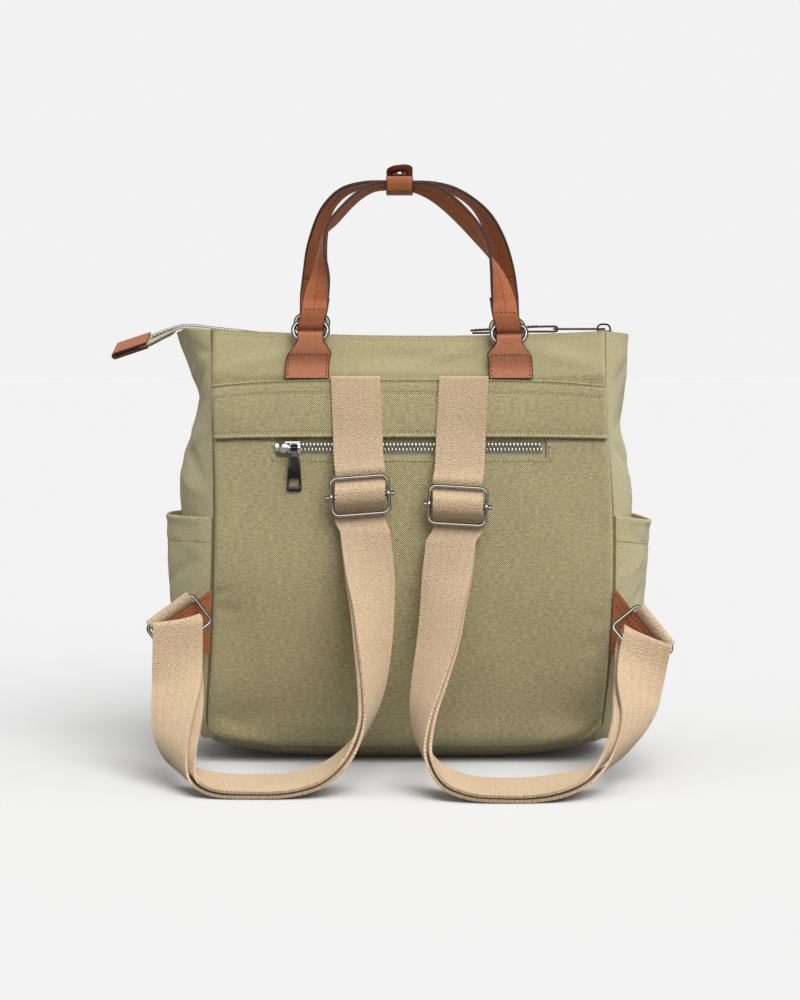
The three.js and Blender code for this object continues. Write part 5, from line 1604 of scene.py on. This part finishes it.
def side_tab(strap):
    """A leather corner sewn into the side seam over the ends of the webbing loop."""
    side, ring, name = strap["side"], strap["ring"], strap["name"]
    plane = ring_plane(strap)
    hinge, turn = plane["hinge"], plane["turn"]
    roll = math.radians(ring["roll"])
    first = Vector((-side * math.cos(roll), 0, math.sin(roll)))
    outward = Vector((side * math.sin(roll), 0, math.cos(roll)))
    edge = Vector((ring["x"], 0, ring["z"])) + outward * (RING["short"] / 2 - 6.4)
    tip = edge - first * 22
    seam = lambda z: Vector((side * (body(z, "half") + 0.8) + body(z, "sway"), 0, z))
    crest = lambda x: edge.z + (x - edge.x) / first.x * first.z
    top = seam(crest(hinge.x))
    top.z = crest(top.x)
    corners = [top, tip, tip + Vector((-side * 3, 0, -4)), seam(86)]
    front = LOOP_LEAN + 1.55 - LEATHER
    place = lambda p, y: turn @ (Vector((p.x, y, p.z)) - hinge) + hinge
    bm = bmesh.new()
    verts = [bm.verts.new(place(p, front)) for p in corners]
    face = bmesh.ops.contextual_create(bm, geom=verts)["faces"][0]
    bm.normal_update()
    if face.normal.y > 0:
        bmesh.ops.reverse_faces(bm, faces=[face])
    bmesh.ops.subdivide_edges(bm, edges=bm.edges[:], cuts=3)
    piece(f"side_leather_{name}", bm, [leather, edge_paint], "leather", [f"side_tab_{name}"],
          wall=LEATHER, rim=1, round_by=0.4)
    out, slant = turn @ -Y_AXIS, (tip - top).normalized()
    rows = []
    for inset in (2.6, 7.2):
        a = top + slant * inset * 1.6 - outward * inset
        b = tip - slant * 2.5 - outward * inset
        rows.append([(place(a, front - 0.15), out), (place(b, front - 0.15), out)])
    stitching(f"side_tab_stitches_{name}", rows, **LEATHER_STITCH)


def shoulder_strap(strap):
    name = strap["name"]
    bm = ribbon(strap_stations(strap), 0.9, 14, loops=0.12)
    piece(f"strap_webbing_{name}", bm, [webbing], "webbing", [f"strap_{name}"], wall=WEBBING, offset=0,
          round_by=0.7)


back_panel()
front_panel()
for side in (-1, 1):
    gusset(side)
    pocket(side)
base()
yoke_band()
panel_stitches()
for face in ("back", "front"):
    facing_cloth(face)
top_zip()
zip_end_tab()
top_slider()
top_link()
top_pull()
back_zip()
back_slider()
back_pull()
for ring in HANDLE_RINGS:
    handle_tab(ring)
    handle_ring(ring)
handle("handle_back", HANDLE_BACK, HANDLE_RINGS[0], HANDLE_RINGS[1], -1, 2)
handle("handle_front", HANDLE_FRONT, HANDLE_RINGS[2], HANDLE_RINGS[3], 1, 4)
handle_wrap()
for strap in STRAPS:
    adjuster(strap)
    strap_ring(strap)
    side_tab(strap)
    shoulder_strap(strap)


# Floor, light and camera
FLOOR_SEEN = 0.64
FLOOR_LIT = 0.24
BACKDROP = 0.888
# Brightness of what the metal mirrors, from behind the bag round to its straps' side
MIRRORED = ((0.0, 0.4), (0.16, 0.05), (0.7, 0.03), (0.88, 0.08), (0.95, 0.95), (1.0, 1.0))
LAMPS = table(
    "name direction strength spread shadow",
    ("top light", (-0.1, 0.0, -1.0), 1.3, 60, True),
    ("front light", (-0.34, 0.58, -0.8), 2.75, 50, True),
    ("left light", (1.0, 0.1, -0.4), 0.65, 60, False),
    ("right light", (-1.0, 0.1, -0.4), 0.6, 60, False),
)
EYE = (-0.00615, -1.665, 0.310)
EYE_DIP = 2.0
EYE_SHIFT = -0.064
FOCAL_PIXELS = 2083
PICTURE_PIXELS = 1000
SENSOR = 36


def studio_floor():
    bm = bmesh.new()
    bmesh.ops.create_grid(bm, x_segments=1, y_segments=1, size=40)
    mesh = bpy.data.meshes.new("floor")
    bm.to_mesh(mesh)
    bm.free()
    floor = bpy.data.objects.new("floor", mesh)
    bpy.context.collection.objects.link(floor)
    material, w, inputs, _ = finish_start("pale floor", Roughness=0.95, Specular_IOR_Level=0.0)
    seen = w.add("ShaderNodeLightPath").outputs["Is Camera Ray"]
    w.feed(inputs["Base Color"], w.between(seen, FLOOR_LIT, FLOOR_SEEN))
    mesh.materials.append(material)


def surroundings():
    """Dim light from all round, bright bands for the metal to mirror, and a pale backdrop."""
    world = bpy.data.worlds.new("studio")
    world.use_nodes = True
    w = Wiring(world.node_tree)
    toward = w.split(w.add("ShaderNodeTexCoord").outputs["Generated"])
    bands = w.add("ShaderNodeValToRGB")
    w.feed(bands.inputs[0], w.sum("MULTIPLY_ADD", toward[1], -0.5, 0.5))
    for spot, _ in MIRRORED[1:-1]:
        bands.color_ramp.elements.new(spot)
    for band, (_, value) in zip(bands.color_ramp.elements, MIRRORED):
        band.color = (value, value, value, 1)

    def glow(color, strength):
        node = w.add("ShaderNodeBackground")
        w.feed(node.inputs["Color"], color)
        w.feed(node.inputs["Strength"], strength)
        return node.outputs[0]

    result = glow((1, 1, 1, 1), 0.16)
    mirrored = glow(bands.outputs["Color"], 3.0)
    backdrop = glow((BACKDROP, BACKDROP, BACKDROP, 1), 1.0)
    path = w.add("ShaderNodeLightPath").outputs
    for which, other in (("Is Glossy Ray", mirrored), ("Is Camera Ray", backdrop)):
        either = w.add("ShaderNodeMixShader")
        for socket, value in zip(either.inputs, (path[which], result, other)):
            w.feed(socket, value)
        result = either.outputs[0]
    w.feed(world.node_tree.nodes["World Output"].inputs["Surface"], result)
    bpy.context.scene.world = world


def lamps():
    for row in LAMPS:
        lamp = bpy.data.lights.new(row["name"], "SUN")
        lamp.energy = row["strength"]
        lamp.angle = math.radians(row["spread"])
        lamp.use_shadow = row["shadow"]
        obj = bpy.data.objects.new(row["name"], lamp)
        obj.visible_glossy = False
        obj.rotation_mode = "QUATERNION"
        obj.rotation_quaternion = Vector(row["direction"]).to_track_quat("-Z", "Y")
        bpy.context.collection.objects.link(obj)


def camera():
    lens = bpy.data.cameras.new("camera")
    lens.sensor_width = SENSOR
    lens.lens = SENSOR * FOCAL_PIXELS / PICTURE_PIXELS
    lens.shift_y = EYE_SHIFT
    eye = bpy.data.objects.new("camera", lens)
    eye.location = EYE
    eye.rotation_euler = (math.radians(90 - EYE_DIP), 0, 0)
    bpy.context.collection.objects.link(eye)
    bpy.context.scene.camera = eye


studio_floor()
surroundings()
lamps()
camera()
bpy.context.scene.view_settings.view_transform = "Standard"
